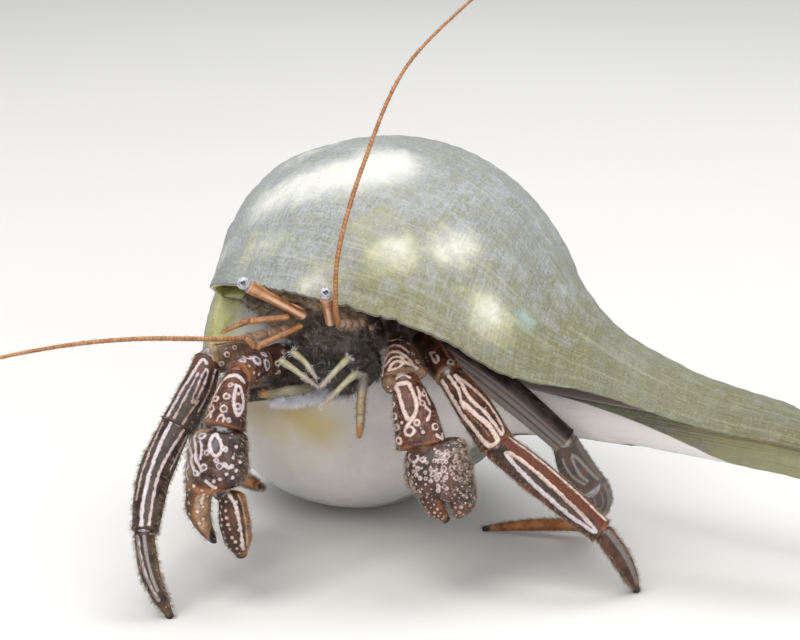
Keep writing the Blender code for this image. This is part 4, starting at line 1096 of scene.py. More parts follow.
def mark_left_arm(merus, carpus):
    for points, width, rise in (
            ([(0.16, -0.95), (0.28, -0.5), (0.31, -0.08), (0.36, 0.25)], 0.24, 0.06),
            ([(0.42, -0.9), (0.42, -0.5), (0.46, -0.14), (0.52, 0.17), (0.62, 0.42)], 0.4, 0.06),
            ([(0.62, -0.84), (0.56, -0.6), (0.58, -0.27), (0.66, 0.11), (0.77, 0.36),
              (0.88, 0.47)], 0.44, 0.06),
            ([(0.76, -0.82), (0.69, -0.55), (0.68, -0.27), (0.72, 0.0), (0.82, 0.17), (0.89, 0.4),
              (0.95, 0.62)], 0.46, 0.06),
            ([(0.9, -0.61), (0.8, -0.5), (0.77, -0.2), (0.83, 0.05), (0.9, -0.14), (0.92, -0.39),
              (0.9, -0.61)], 0.46, 0.1),
            ([(0.44, -0.96), (0.62, -0.93), (0.8, -0.91), (0.92, -0.9)], 0.4, 0.06)):
        merus.line(points, width, rise)
    merus.rings([(0.5, -0.78, 0.26), (0.64, 0.62, 0.26), (0.42, 0.55, 0.24), (0.8, 0.72, 0.26)], 0.2)
    merus.tint("warm", 0.35, side=(0.3, 0.7))
    merus.tint("sand", 0.55, share=(0.93, 0.96))
    merus.tint("murk", 0.5, side=(0.15, 0.4, 0.92, 0.82))
    merus.tint("lace", 0.25)
    for points, width, rise in (
            ([(0.09, -0.9), (0.065, -0.5), (0.065, 0.0), (0.12, 0.4)], 0.3, 0.08),
            ([(0.14, -0.84), (0.16, -0.4), (0.18, 0.06), (0.21, 0.23)], 0.64, 0.08),
            ([(0.16, -0.78), (0.25, -0.57), (0.4, -0.5), (0.5, -0.44), (0.6, -0.34)], 0.6, 0.14),
            ([(0.2, 0.14), (0.31, 0.23), (0.41, 0.24), (0.51, 0.16), (0.59, -0.04), (0.64, -0.24),
              (0.69, -0.42)], 0.54, 0.14),
            ([(0.27, 0.58), (0.36, 0.52), (0.42, 0.42)], 0.34, 0.1),
            ([(0.52, 0.56), (0.57, 0.68), (0.62, 0.62), (0.67, 0.46)], 0.38, 0.1),
            ([(0.3, 0.86), (0.41, 0.8), (0.49, 0.8)], 0.3, 0.08),
            ([(0.86, 0.7), (0.92, 0.84), (0.86, 0.95)], 0.5, 0.08)):
        carpus.line(points, width, rise)
    carpus.rings([(0.75, -0.34, 0.66)], 0.44, 0.26)
    carpus.rings([(0.67, 0.02, 0.36)], 0.34, 0.18)
    carpus.rings([(0.47, 0.48, 0.36)], 0.28, 0.16)
    carpus.rings([(0.36, 0.74, 0.32)], 0.26)
    carpus.rings([(0.76, 0.72, 0.46), (0.53, -0.88, 0.44), (0.67, -0.86, 0.44), (0.84, -0.84, 0.46),
                  (0.38, -0.92, 0.32)], 0.28, 0.2)
    carpus.dots([(0.8, 0.2, 0.24), (0.63, -0.62, 0.16)])
    carpus.tint("warm", 0.3, share=(0.9, 0.95))
    carpus.tint("lace", 0.35)


def mark_left_palm(palm):
    share, side, _ = palm.spots
    palm.line([(0.045, -0.86), (0.085, -0.84), (0.125, -0.66), (0.085, -0.52), (0.045, -0.66),
               (0.045, -0.86)], 0.32, 0.2)
    palm.rings([(0.11, -0.36, 0.34)], 0.34, 0.18)
    beaded = (share > 0.03) & (share < 0.44) & (side > -0.15 + 0.9 * np.abs(share - 0.2)
                                                + 0.5 * (share > 0.33))
    granules(palm, beaded, 0.72, 0.27, 0.85, 0.16)
    granules(palm, (share > 0.14) & (share < 0.48) & (side < 0.3), 0.74, 0.22, 0.55, 0.14)
    granules(palm, (share > 0.46) & (share < 0.93), 0.72, 0.17, 0.25, 0.14)
    palm.tint("cool", 0.15 + 0.4 * ramp(side, 0.55, 0.3))
    palm.tint("warm", 0.45, share=(0.72, 0.84), side=(0.6, 0.3))
    palm.tint("murk", 0.55 + 0.35 * ramp(side, 0.4, 0.7)
              + 0.5 * bell(side, -0.25, 0.25) * ramp(share, 0.4, 0.3))
    palm.tint("lace", 0.15 + 0.6 * ramp(side, -0.2, 0.1))
    stipple(palm, 200, 0.09)


def build_left_claw(skin, hair):
    arm = limb(CHELIPED_LEFT, [(ARM_LEFT_SIZE, (0.0, -0.4, 0.3)), (WRIST_LEFT_SIZE, (0.2, -0.6, 0.2))])
    mark_left_arm(*arm)
    palm = Slices(PALM_LEFT, (0.96, -0.1, 0.27), (0.0, -1.0, 0.0))
    mark_left_palm(palm)
    finger = Tube(FINGER_LEFT, SHORT_FINGER_SIZE)
    for place in np.arange(0.1, 0.86, 0.13):
        finger.dots([(place, -0.78, 0.15), (place + 0.05, -0.36, 0.14), (place + 0.02, 0.05, 0.12)])
    share, side, _ = finger.spots
    finger.tint("warm", 0.25 * ramp(side, 0.1, 0.4) + 0.3 * ramp(share, 0.7, 0.9))
    finger.tint("murk", 0.5, share=(0.6, 0.3))
    finger.tint("horn", ramp(share + 0.06 * side, 0.86, 0.9))
    # the arm's lobe beside the wrist
    lobe = Tube([(5.2, -42.4, 34.4), (5.0, -43.0, 33.2), (5.2, -43.6, 32.0)],
                [(0.0, 1.4, 1.2), (0.6, 1.2, 1.1), (1.0, 0.8, 0.7)])
    lobe.tint("sand", 0.35)
    membranes = ((1.8, {"sand": 0.6, "fuzz": 0.3}), (2.3, {"murk": 0.5, "warm": 0.3}),
                 (1.3, {"murk": 0.6, "fuzz": 0.4}))
    finish_claw("left", skin, hair, [*arm, palm, finger], 0.38, membranes,
                ((120, 0.6), (300, 0.6), (900, 0.8), (260, 0.5)), [lobe])


# ---------------------------------------------------------------- walking legs
LEG_TUFTS = {"ischium": (200, 0.6), "merus": (200, 0.6), "carpus": (420, 0.7), "propodus": (800, 0.75),
             "dactyl": (620, 0.85)}  # bunches of bristles, and their length


def stripe(tube, side, start=0.05, end=0.95, width=0.28, key="cream"):
    """A slightly waved line along a segment at one distance from its middle."""
    share = np.linspace(start, end, 7)
    tube.line(np.stack([share, side + 0.03 * np.sin(share * 9.0 + 3.0 * side)], axis=-1), width, 0.05,
              key=key)


def finish_leg(name, skin, hair, tubes, specks, length):
    mesh, coat = Mesh(), Coat()
    parts = list(LEG_TUFTS)[-len(tubes):]
    for tube in tubes:
        stipple(tube, specks, 0.08)
        tube.collar(0.1)
        tube.into(mesh)
    for before, after in zip(tubes[:-1], tubes[1:]):
        radius = 0.8 * min(before.width[-COLLAR_ROWS], after.width[COLLAR_ROWS])
        membrane(mesh, before, after, radius, sand=0.35, fuzz=0.9)
    mesh.become(name, "crab_brown", skin, [f"{name}_{part}" for part in parts])
    for part, tube in zip(parts, tubes):
        count, size = LEG_TUFTS[part]
        coat.on(tube, count, fringe(tube), size * length, lean=0.8)
    coat.become(name + "_bristles", "crab_tan", hair)


def build_second_left(skin, hair):
    merus, carpus, propodus, dactyl = tubes = limb(LEG_2_LEFT, [
        (UPPER_SIZE, (0.0, 0.0, 0.3)), (CARPUS_SIZE, (0.2, -0.3, 0.3)), (PROPODUS_SIZE, (0.2, -0.4, 0.2)),
        (DACTYL_SIZE, (0.4, -0.6, 0.4))])
    share, side, _ = merus.spots
    merus.line([(0.62, 0.15), (0.58, -0.05), (0.68, -0.16), (0.78, -0.2), (0.76, 0.1), (0.68, 0.14)], 0.36)
    merus.line([(0.3, 0.92), (0.45, 0.84), (0.6, 0.78), (0.75, 0.72), (0.88, 0.7)], 0.3, key="ochre")
    merus.rings([(0.9, 0.62, 0.42)], 0.32)
    merus.tint("warm", 0.35 * ramp(side, 0.5, 0.7) + 0.35 * ramp(share, 0.86, 0.92) * ramp(side, 0.5, 0.1))
    merus.tint("sand", 0.4, share=(0.88, 0.94), side=(0.5, 0.1))
    merus.tint("murk", 0.6, side=(0.2, -0.3), share=(0.8, 0.6))
    carpus.line([(0.06, -0.64), (0.2, -0.7), (0.38, -0.73), (0.56, -0.7), (0.72, -0.6), (0.86, -0.54),
                 (0.935, -0.38), (0.96, -0.1), (0.93, 0.14), (0.84, 0.2), (0.72, 0.12), (0.6, -0.08),
                 (0.47, -0.24), (0.38, -0.34)], 0.7, 0.12)
    carpus.line([(0.05, -0.1), (0.16, -0.08), (0.27, -0.14), (0.37, -0.36), (0.45, -0.44)], 0.46, 0.1)
    carpus.line([(0.46, -0.46), (0.57, -0.36), (0.7, -0.2), (0.84, -0.14)], 0.14, 0.03, key="ochre")
    carpus.line([(0.1, 0.3), (0.22, 0.28), (0.34, 0.14), (0.48, 0.2), (0.63, 0.4), (0.79, 0.48),
                 (0.91, 0.5)], 0.46, 0.1)
    carpus.line([(0.1, 0.36), (0.24, 0.56), (0.37, 0.68), (0.5, 0.75), (0.7, 0.8), (0.86, 0.74),
                 (0.91, 0.52)], 0.42, 0.1)
    carpus.line([(0.1, 0.92), (0.35, 0.96), (0.6, 0.97), (0.85, 0.93)], 0.22, 0.04, key="ochre")
    carpus.tint("warm", 0.85, share=(0.965, 0.985))
    carpus.tint("warm", 0.7, share=(0.07, 0.03))
    propodus.line([(0.02, 0.84), (0.2, 0.88), (0.4, 0.86), (0.6, 0.85), (0.8, 0.84),
                   (0.95, 0.86)], 0.46, 0.06)
    propodus.line([(0.12, -0.04), (0.15, 0.12), (0.24, 0.2), (0.36, 0.2), (0.48, 0.16), (0.62, 0.1),
                   (0.78, 0.02), (0.89, -0.08), (0.945, -0.24), (0.91, -0.4), (0.82, -0.46), (0.68, -0.48),
                   (0.54, -0.46), (0.4, -0.38), (0.26, -0.26), (0.16, -0.16), (0.12, -0.04)], 0.52, 0.09)
    propodus.line([(0.24, -0.3), (0.4, -0.44), (0.58, -0.55), (0.8, -0.54)], 0.5, 0.05)
    propodus.tint("murk", 0.7, side=(0.18, 0.12, -0.8, -0.7))
    propodus.tint("red", 0.9, side=(0.22, 0.3, 0.86, 0.8))
    propodus.tint("cool", 0.9, side=(0.1, -0.2))
    share, side, _ = propodus.spots
    propodus.tint("warm", 0.6 * ramp(share, 0.97, 0.99) + 0.5 * ramp(side, -0.86, -0.96))
    dactyl.tint("grey", 0.55, side=(0.1, 0.3, 0.8, 0.7), share=(0.9, 0.8))
    dactyl.tint("red", 0.25, side=(0.1, 0.0))
    dactyl.tint("murk", 0.25 + 0.5 * bell(dactyl.spots[1], -0.05, 0.2))
    dactyl.tint("sand", 0.5, share=(0.55, 0.85), side=(-0.35, -0.65))
    dactyl.tint("horn", 1.0, share=(0.93, 0.96))
    finish_leg("leg_2_left", skin, hair, tubes, 18, 0.9)


def build_second_right(skin, hair):
    ischium, merus, carpus, propodus, dactyl = tubes = limb(LEG_2_RIGHT, [
        (COXA_SIZE, STRAIGHT), (UPPER_SIZE, (0.0, 0.0, 0.5)), (CARPUS_SIZE, (0.8, 0.0, 0.3)),
        (PROPODUS_SIZE, (-1.0, -0.6, 0.4)), (DACTYL_SIZE, (-0.9, -0.7, 0.0))])
    # Painted shade: the base lies deep under the shell's lip.
    ischium.tint("murk", 0.8)
    merus.rings([(0.77, -0.2, 0.34), (0.62, 0.1, 0.3), (0.47, -0.05, 0.36), (0.66, -0.62, 0.28),
                 (0.85, 0.35, 0.3), (0.3, -0.4, 0.3)], 0.2)
    merus.line([(0.55, -0.92), (0.72, -0.9), (0.9, -0.84)], 0.22, 0.03, key="ochre")
    merus.tint("sand", 0.85, share=(0.86, 0.92))
    merus.tint("sand", 0.2)
    # Darker towards the base: painted shade from the shell.
    merus.tint("murk", 0.2 + 0.4 * ramp(merus.spots[0], 0.4, 0.1))
    carpus.line([(0.17, 0.06), (0.13, -0.2), (0.19, -0.44), (0.37, -0.62), (0.55, -0.72), (0.73, -0.75),
                 (0.92, -0.74)], 0.46, 0.08)
    carpus.line([(0.24, 0.12), (0.36, -0.01), (0.51, -0.03), (0.65, 0.06), (0.66, 0.2), (0.52, 0.24),
                 (0.37, 0.3), (0.26, 0.28), (0.24, 0.12)], 0.24, 0.06)
    carpus.line([(0.2, 0.75), (0.45, 0.66), (0.72, 0.62)], 0.28, 0.04)
    carpus.line([(0.32, -0.28), (0.5, -0.36), (0.7, -0.38), (0.92, -0.36)], 0.26, 0.04)
    carpus.line([(0.62, 0.34), (0.78, 0.26), (0.93, 0.24)], 0.26, 0.04)
    share, side, _ = carpus.spots
    carpus.tint("warm", 0.75, side=(-0.86, -0.94))
    carpus.tint("murk", 0.35 + 0.55 * ramp(share, 0.3, 0.6))
    carpus.tint("cool", 0.75 - 0.6 * ramp(share, 0.35, 0.65) * ramp(side, -0.5, -0.3))
    propodus.line([(0.08, -0.84), (0.31, -0.72), (0.49, -0.7), (0.62, -0.7), (0.76, -0.74)], 0.36, 0.05)
    propodus.line([(0.05, -0.34), (0.21, -0.34), (0.37, -0.28), (0.49, -0.24), (0.61, -0.24), (0.74, -0.26),
                   (0.86, -0.28), (0.97, -0.24)], 0.52, 0.06)
    propodus.line([(0.07, 0.58), (0.2, 0.46), (0.32, 0.37), (0.44, 0.32), (0.58, 0.3), (0.7, 0.3),
                   (0.82, 0.31), (0.96, 0.32)], 0.38, 0.06)
    propodus.line([(0.1, 0.9), (0.3, 0.84), (0.46, 0.8)], 0.26, 0.03)
    side = propodus.spots[1]
    propodus.tint("cool", 0.4 + 0.6 * bell(side, -0.25, 0.22) + 0.22 * ramp(side, 0.1, 0.2))
    propodus.tint("murk", 0.88)
    propodus.tint("warm", 0.6, side=(-0.92, -0.97))
    dactyl.line([(0.06, -0.6), (0.22, -0.55), (0.38, -0.42), (0.55, -0.3),
                 (0.74, -0.24)], 0.6, 0.03, key="grey")
    dactyl.line([(0.06, 0.06), (0.26, 0.1), (0.46, 0.18), (0.64, 0.2)], 0.44, 0.03, key="grey")
    dactyl.line([(0.06, -0.5), (0.22, -0.46), (0.38, -0.34), (0.55, -0.24), (0.7, -0.2)], 0.2, 0.03)
    share, side, _ = dactyl.spots
    dactyl.tint("cool", 0.9)
    dactyl.tint("murk", 0.75)
    dactyl.tint("warm", 0.75 * ramp(side, 0.62, 0.82) + 0.5 * ramp(share, 0.8, 0.9))
    dactyl.tint("horn", 1.0, share=(0.94, 0.97))
    finish_leg("leg_2_right", skin, hair, tubes, 18, 1.1)


def build_third(name, joints, bows, skin, hair):
    sizes = (UPPER_SIZE, CARPUS_SIZE, PROPODUS_SIZE, THIN_DACTYL_SIZE)
    merus, carpus, propodus, dactyl = tubes = limb(joints, zip(sizes, bows))
    side = merus.spots[1]
    merus.tint("murk", 0.25 + 0.9 * ramp(side, 0.1, 0.3))
    merus.tint("grey", 0.8 * (1.0 - 0.8 * bell(side, -0.15, 0.08) - 0.8 * bell(side, -0.55, 0.08)),
               side=(0.15, -0.1))
    merus.tint("warm", 0.6, share=(0.95, 0.98))
    carpus.line([(0.26, -0.6), (0.42, -0.55), (0.62, -0.45), (0.8, -0.2)], 0.44, key="grey")
    carpus.line([(0.26, 0.02), (0.45, -0.05), (0.62, -0.08), (0.78, 0.05)], 0.44, key="grey")
    carpus.line([(0.24, 0.1), (0.34, 0.34), (0.52, 0.42), (0.72, 0.5), (0.88, 0.6)], 0.5, key="grey")
    for place in (-0.35, 0.2, 0.62):
        stripe(propodus, place, 0.06, 0.9, 0.2, "grey")
    for tube in (carpus, propodus):
        tube.tint("murk", 0.45)
        tube.tint("grey", 0.2 + 0.35 * ramp(tube.spots[1], 0.55, 0.75))
    share = dactyl.spots[0]
    dactyl.tint("warm", 0.95)
    dactyl.tint("horn", ramp(share, 0.9, 0.93) + 0.6 * bell(share, 0.8, 0.03))
    finish_leg(name, skin, hair, tubes, 4, 0.8)


def build_legs(skin, hair):
    build_second_left(skin, hair)
    build_second_right(skin, hair)
    build_third("leg_3_right", LEG_3_RIGHT, (STRAIGHT, STRAIGHT, (-0.5, 0.0, -0.4), STRAIGHT), skin, hair)
    build_third("leg_3_left", LEG_3_LEFT,
                ((0.4, 0.0, 0.5), (-0.6, 0.0, 0.0), (1.8, 0.0, 0.6), (0.0, 0.3, 0.2)), skin, hair)


# ---------------------------------------------------------------- body and head
EYES = np.array([-5.7, -37.4, 41.7])
FORWARD = np.array([-0.66, -0.66, -0.36])
RIGHT = np.array([-0.7071, 0.7071, 0.0])
UP = np.cross(RIGHT, FORWARD)
EYE_RIGHT = [(-7.9, -36.9, 42.3), (-17.2, -39.5, 48.2)]
EYE_LEFT = [(-4.0, -40.3, 42.2), (-4.5, -47.9, 48.8)]
ANTENNULE_RIGHT = [(-10.3, -39.0, 42.8), (-16.4, -41.8, 42.9), (-18.2, -42.8, 42.4), (-20.3, -44.0, 41.6)]
ANTENNULE_LEFT = [(-8.4, -39.4, 41.6), (-15.2, -45.4, 39.8), (-16.4, -45.8, 41.2), (-17.4, -44.6, 41.1)]
PEDUNCLE_RIGHT = [(-10.2, -34.4, 39.6), (-14.0, -37.2, 39.6), (-17.3, -39.0, 39.4)]
PEDUNCLE_LEFT = [(0.7, -38.8, 42.2), (-0.8, -42.0, 42.5), (-2.5, -44.6, 43.2)]
FLAGELLUM_RIGHT = [(-17.8, -39.4, 39.5), (-21.5, -41.5, 40.0), (-33.0, -46.5, 41.4), (-44.0, -50.0, 41.2),
                   (-56.5, -53.0, 39.3), (-69.0, -55.5, 36.0)]
FLAGELLUM_LEFT = [(-2.8, -45.2, 43.8), (-3.0, -49.2, 48.0), (-2.4, -49.6, 56.0), (1.0, -44.8, 67.2),
                  (7.5, -37.8, 81.0), (19.5, -30.5, 92.0)]
MAXILLIPED_LEFT = [(1.0, -37.6, 33.6), (0.7, -39.4, 31.3), (0.5, -40.6, 29.1), (0.4, -41.0, 26.5),
                   (0.2, -40.4, 23.9)]
MAXILLIPED_RIGHT = [(-4.8, -35.6, 31.2), (-8.9, -37.9, 30.6), (-12.4, -39.2, 30.6), (-15.2, -40.6, 31.0)]
MOUTH_PALPS = {
    "palp_outer_right": [(-12.0, -40.4, 36.5), (-9.5, -40.8, 34.9), (-5.9, -41.0, 32.2)],
    "palp_inner_right": [(-10.2, -39.6, 37.6), (-8.0, -40.6, 36.1), (-6.1, -42.2, 33.8)],
    "palp_inner_left": [(-1.1, -40.2, 36.9), (-2.9, -41.8, 35.5), (-5.6, -43.4, 32.9)],
    "palp_outer_left": [(0.1, -39.8, 34.4), (-1.9, -41.4, 33.0), (-5.7, -42.4, 29.3)],
}
# Sections across the body: forward of the eyes, half width, top, bottom.
SHIELD = [(-0.55, 0.6, 1.75, 1.55), (-0.9, 2.8, 2.05, 1.15), (-1.6, 5.2, 2.7, 0.9), (-4.0, 6.8, 3.4, 0.6),
          (-8.0, 7.1, 3.6, 0.6), (-11.0, 6.0, 3.3, 0.8), (-12.3, 3.8, 2.7, 1.2), (-12.6, 0.6, 2.0, 1.8)]
REAR = [(-12.75, 0.5, 2.0, 1.8), (-12.9, 2.8, 2.5, 1.4), (-13.8, 4.8, 3.0, 1.0), (-15.4, 4.6, 3.0, 1.1),
        (-16.3, 3.0, 2.6, 1.6), (-16.5, 0.5, 2.1, 2.0)]
CHEST = [(-1.05, 0.6, -3.6, -4.2), (-1.2, 2.4, -2.2, -5.6), (-2.2, 4.0, -0.8, -8.6), (-5.0, 4.7, 0.0, -10.2),
         (-9.0, 4.9, 0.2, -10.4), (-12.5, 4.6, 0.2, -9.6), (-15.0, 3.2, -1.0, -7.4), (-15.2, 0.5, -3.8, -4.4)]
# The abdomen's path in the shell: turn in degrees, radius, height along its axis.
COILED_PATH = [(70.0, 27.5, 38.5), (104.0, 27.4, 35.0), (136.0, 26.0, 31.5), (164.0, 24.8, 28.0)]
ABDOMEN_SIZE = [(0.0, 2.8, 2.8), (0.12, 3.8, 3.8), (0.35, 4.9, 4.9), (0.55, 5.0, 5.0), (0.8, 4.0, 4.0),
                (1.0, 2.8, 2.8)]
# The hairy skin around the mouth: path, sizes, sand tint, and bunches of dark and brown bristles.
MOUTH_FORMS = [
    ([(-3.5, -31.5, 39.0), (-9.5, -29.6, 40.6), (-14.5, -28.2, 42.4), (-18.0, -27.2, 43.0)],
     [(0.0, 3.6, 2.4), (0.4, 4.2, 2.6), (0.8, 2.8, 2.0), (1.0, 1.6, 1.2)], 0.4, 260, 420),
    ([(3.4, -34.6, 35.4), (-2.0, -36.0, 34.4), (-7.5, -35.6, 33.6), (-14.0, -34.6, 33.0)],
     [(0.0, 3.6, 1.8), (0.3, 4.8, 2.2), (0.7, 4.2, 1.8), (1.0, 2.6, 1.2)], 0.0, 800, 60),
    ([(2.0, -35.8, 39.2), (-2.6, -37.2, 38.4), (-7.5, -36.4, 37.6)],
     [(0.0, 2.8, 1.6), (0.5, 3.2, 1.8), (1.0, 2.6, 1.4)], 0.05, 500, 160),
    ([(-13.5, -34.5, 45.4), (-9.6, -35.4, 44.8), (-5.5, -36.4, 44.0), (-1.2, -36.8, 42.4),
      (2.5, -36.2, 40.0)],
     [(0.0, 0.6, 0.6), (0.2, 1.1, 1.0), (0.8, 1.0, 0.9), (1.0, 0.5, 0.5)], 0.9, 20, 420),
]


def skin_over(tubes, name, slot, material, replaces):
    mesh = Mesh()
    for tube in tubes:
        tube.into(mesh)
    mesh.become(name, slot, material, replaces)


def crab_point(forward, right, up):
    return EYES + forward * FORWARD + right * RIGHT + up * UP


def body_form(sections):
    slices = [(crab_point(forward, 0.0, 0.5 * (top + bottom)), half_width, 0.5 * (top - bottom))
              for forward, half_width, top, bottom in sections]
    return Slices(slices, RIGHT, UP, 0.28)


def build_shield(skin):
    """The shield in front, and the bristles along its edge."""
    shield, coat = body_form(SHIELD), Coat()
    share, _, front = shield.spots
    shield.tint("sand", 0.9 - 0.4 * ramp(share, 0.1, 0.4))
    shield.tint("warm", 0.25)
    shield.line([(0.1, -0.95), (0.055, -0.6), (0.05, -0.2), (0.05, 0.2), (0.055, 0.6),
                 (0.1, 0.95)], 0.02, 0.1, False)
    shield.line([(0.16, 0.0), (0.4, 0.0), (0.7, 0.0)], 0.18, -0.08, False)
    granules(shield, (front > 0.1) & (share > 0.12), 0.9, 0.2, 0.5, 0.05)
    skin_over([shield], "carapace_shield_skin", "crab_tan", skin, ["carapace_shield"])
    coat.on(shield, 520, (share < 0.16) & (front > -0.2), 1.1, 0.024, lean=-0.8, bunch=4)
    return coat


def build_hind_body(skin, soft):
    """The rear carapace, the coiled abdomen and the tail fan, along the shell's own turn."""
    shell = WhelkShell()
    tail = [crab_point(-15.4, 0.0, -4.0), crab_point(-18.4, 0.0, -3.2)]
    tail += [shell.place(radius, height, deg(turn)) for turn, radius, height in COILED_PATH]
    abdomen = Tube(curve_through(tail, np.linspace(0.0, 4.4, 11)), ABDOMEN_SIZE, shell.axis, 0.35)
    abdomen.height -= 0.25 * bell(np.mod(abdomen.along, 6.5), 3.2, 0.7)[:, None]
    skin_over([body_form(REAR), abdomen], "soft_body", "crab_soft", soft, ["carapace_rear", "abdomen"])
    fan = Tube(curve_through(tail, np.linspace(4.45, 5.0, 3)),
               [(0.0, 2.2, 1.0), (0.6, 3.0, 0.8), (1.0, 1.8, 0.6)], shell.axis)
    for side in (0.4, -0.4):
        stripe(fan, side, 0.2, 0.9)
    fan.tint("sand", 0.6)
    skin_over([fan], "tail_fan_skin", "crab_tan", skin, ["tail_fan"])


def build_chest(skin):
    chest = body_form(CHEST)
    chest.tint("murk", 1.0)
    for share in (0.12, 0.3, 0.48, 0.66, 0.84):
        chest.height -= 0.3 * bell(chest.share, share, 0.02)[:, None]
    skin_over([chest], "thorax_skin", "crab_dark", skin, ["thorax"])
    legs = []
    for sign in (1.0, -1.0):
        path = [crab_point(-13.5, 5.2 * sign, -3.0), crab_point(-16.0, 7.6 * sign, -2.2),
                crab_point(-18.5, 8.6 * sign, -3.4)]
        legs.append(Tube(path, [(0.0, 0.85, 0.85), (0.5, 0.8, 0.8), (1.0, 0.6, 0.6)]))
        stripe(legs[-1], 0.2, 0.1, 0.9, 0.3)
    skin_over(legs, "fourth_legs", "crab_brown", skin, ["leg_4_right", "leg_4_left"])


def build_mouth_field(skin, dark_hair, hair, pale_hair):
    """The hairy skin around the mouth and the bases of the right limbs, painted near-black as shade under the
    shell's lip.
    """
    dark, brown, pale = Coat(), Coat(), Coat()
    forms = []
    for number, (path, sizes, sand, dark_count, brown_count) in enumerate(MOUTH_FORMS):
        form = Tube(path, sizes, (0.0, -1.0, 0.1), 0.3)
        last = number == len(MOUTH_FORMS) - 1  # the tan brow under the eyes
        form.height += 0.35 * waves(form.points @ np.array([0.6, 0.2, 0.7]), 7, 0.1, 0.9, 21 + number) \
            * waves(form.points @ np.array([-0.5, 0.3, 0.8]), 7, 0.1, 0.9, 31 + number)
        # Painted shade: every form but the brow is near-black.
        form.tint("murk", 0.0 if last else 1.0)
        form.tint("sand", sand)
        forms.append(form)
        _, side, front = form.spots
        dark.on(form, dark_count, front > -0.3, 1.6, 0.02, lean=0.2, spread=0.8)
        brown.on(form, brown_count, (front > -0.2) & ((side < 0.2) | last), 1.3, 0.018, lean=0.2, spread=0.8)
        pale.on(form, 26, front > 0.0, 1.8, 0.015, lean=0.1, spread=0.5)
    skin_over(forms, "mouth_field_skin", "crab_dark", skin, ())
    dark.become("mouth_field_bristles", "crab_dark", dark_hair)
    brown.become("mouth_field_fringe", "crab_tan", hair)
    pale.become("mouth_field_wisps", "crab_palp", pale_hair)


PUPIL_ANGLE = 42.0  # from the eye's look to the edge of its pupil


def build_cornea(name, replaced, centre, way, look, material, radius=0.98):
    """A slightly long ball whose pupil field measures from where it looks."""
    rows, columns = 48, 72
    theta = np.concatenate((np.linspace(0.0, pi, rows + 2)[1:-1].repeat(columns), (0.0, pi)))[:, None]
    phi = np.append(np.tile(np.arange(columns) * TAU / columns, rows), (0.0, 0.0))[:, None]
    aside = unit(np.cross(way, (0.3, 0.2, 1.0)))
    ball = np.cos(theta) * way + np.sin(theta) * (np.cos(phi) * aside + np.sin(phi) * np.cross(way, aside))
    pupil = np.degrees(np.arccos(np.clip(ball @ unit(look), -1.0, 1.0))) / PUPIL_ANGLE
    mesh = Mesh()
    mesh.add(centre + radius * (ball + 0.06 * np.cos(theta) * way),
             [grid_faces(rows, columns)[:, ::-1], end_fans(rows, columns)[:, [0, 2, 1]]], {"pupil": pupil})
    mesh.become(name, "eye", material, [replaced])


def feeler(points, sizes, spacing=0.16, rings=0.0, depth=0.0):
    tube = Tube(points, [(share, size, size) for share, size in sizes], spacing=spacing)
    if rings:
        pulse = (0.5 - 0.5 * np.cos(tube.along * TAU / rings))[:, None]
        tube.height += depth * pulse
        tube.tint("band", 0.55 * (1.0 - pulse) ** 2)
    return tube


# pale is the strength of the painted highlight down the stalk's front.
def build_eye(side_name, joints, look, band, pale, coat, orange, eye):
    base, ball = np.array(joints)
    way = unit(ball - base)
    neck = ball - way * 0.75
    stalk = Tube([base, 0.5 * (base + neck), neck],
                 [(0.0, 0.85, 0.8), (0.2, 0.78, 0.74), (0.6, 0.78, 0.72), (0.88, 1.02, 0.98),
                  (1.0, 1.08, 1.04)],
                 spacing=0.12, domes=(0.8, 0.35))
    share, side, _ = stalk.spots
    # A darker streak along the back, and a painted highlight down the front.
    stalk.tint("band", band * bell(side, -0.55, 0.28), front=(-0.6, -0.2), share=(0.96, 0.9))
    stalk.tint("pale", pale * bell(side, 0.15, 0.38) * (1.0 - 0.6 * ramp(share, 0.6, 0.8)), front=(0.0, 1.0))
    stalk.tint("blue", 0.4, share=(0.1, 0.0))
    stalk.tint("blue", 0.35, share=(0.95, 0.99))
    scale = Tube([base + 0.3 * way - 0.2 * UP, base + 1.2 * way + 0.75 * UP, base + 2.4 * way + 1.0 * UP],
                 [(0.0, 0.7, 0.35), (0.5, 0.6, 0.3), (1.0, 0.2, 0.15)], spacing=0.14)
    scale.tint("pale", 0.5)
    scale.tint("band", 0.4)
    skin_over([stalk, scale], "eyestalk_skin_" + side_name, "crab_orange", orange, ["eyestalk_" + side_name])
    coat.on(stalk, 26, (share < 0.25) & (share > 0.04), 0.7, 0.022, lean=0.8)
    build_cornea("cornea_" + side_name, "eye_" + side_name, ball, way, look, eye)


def build_antennule(side_name, points, band, coat, orange):
    points = np.array(points)
    rod = feeler(points[:2], [(0.0, 0.5), (0.2, 0.46), (0.8, 0.5), (1.0, 0.58)], 0.12)
    # Darker towards one edge, with a painted highlight along the front.
    rod.tint("band", band + 0.5 * bell(rod.spots[1], -0.7, 0.3))
    rod.tint("pale", 0.1 * bell(rod.spots[1], 0.1, 0.3), front=(0.0, 1.0))
    lash = feeler(points[1:], [(0.0, 0.46), (0.5, 0.34), (1.0, 0.16)], 0.09, 0.42, 0.05)
    ahead = unit(points[2] - points[1])
    second = [points[1], points[1] + 1.2 * ahead + 0.4 * UP, points[1] + 2.4 * ahead + 0.3 * UP]
    twin = feeler(second, [(0.0, 0.3), (1.0, 0.14)], 0.09, 0.36, 0.03)
    skin_over([rod, lash, twin], "antennule_skin_" + side_name, "crab_orange", orange,
              ["antennule_" + side_name])
    coat.on(lash, 130, lash.spots[1] < 0.2, 0.9, 0.02, lean=0.5, bunch=2, spread=0.2)


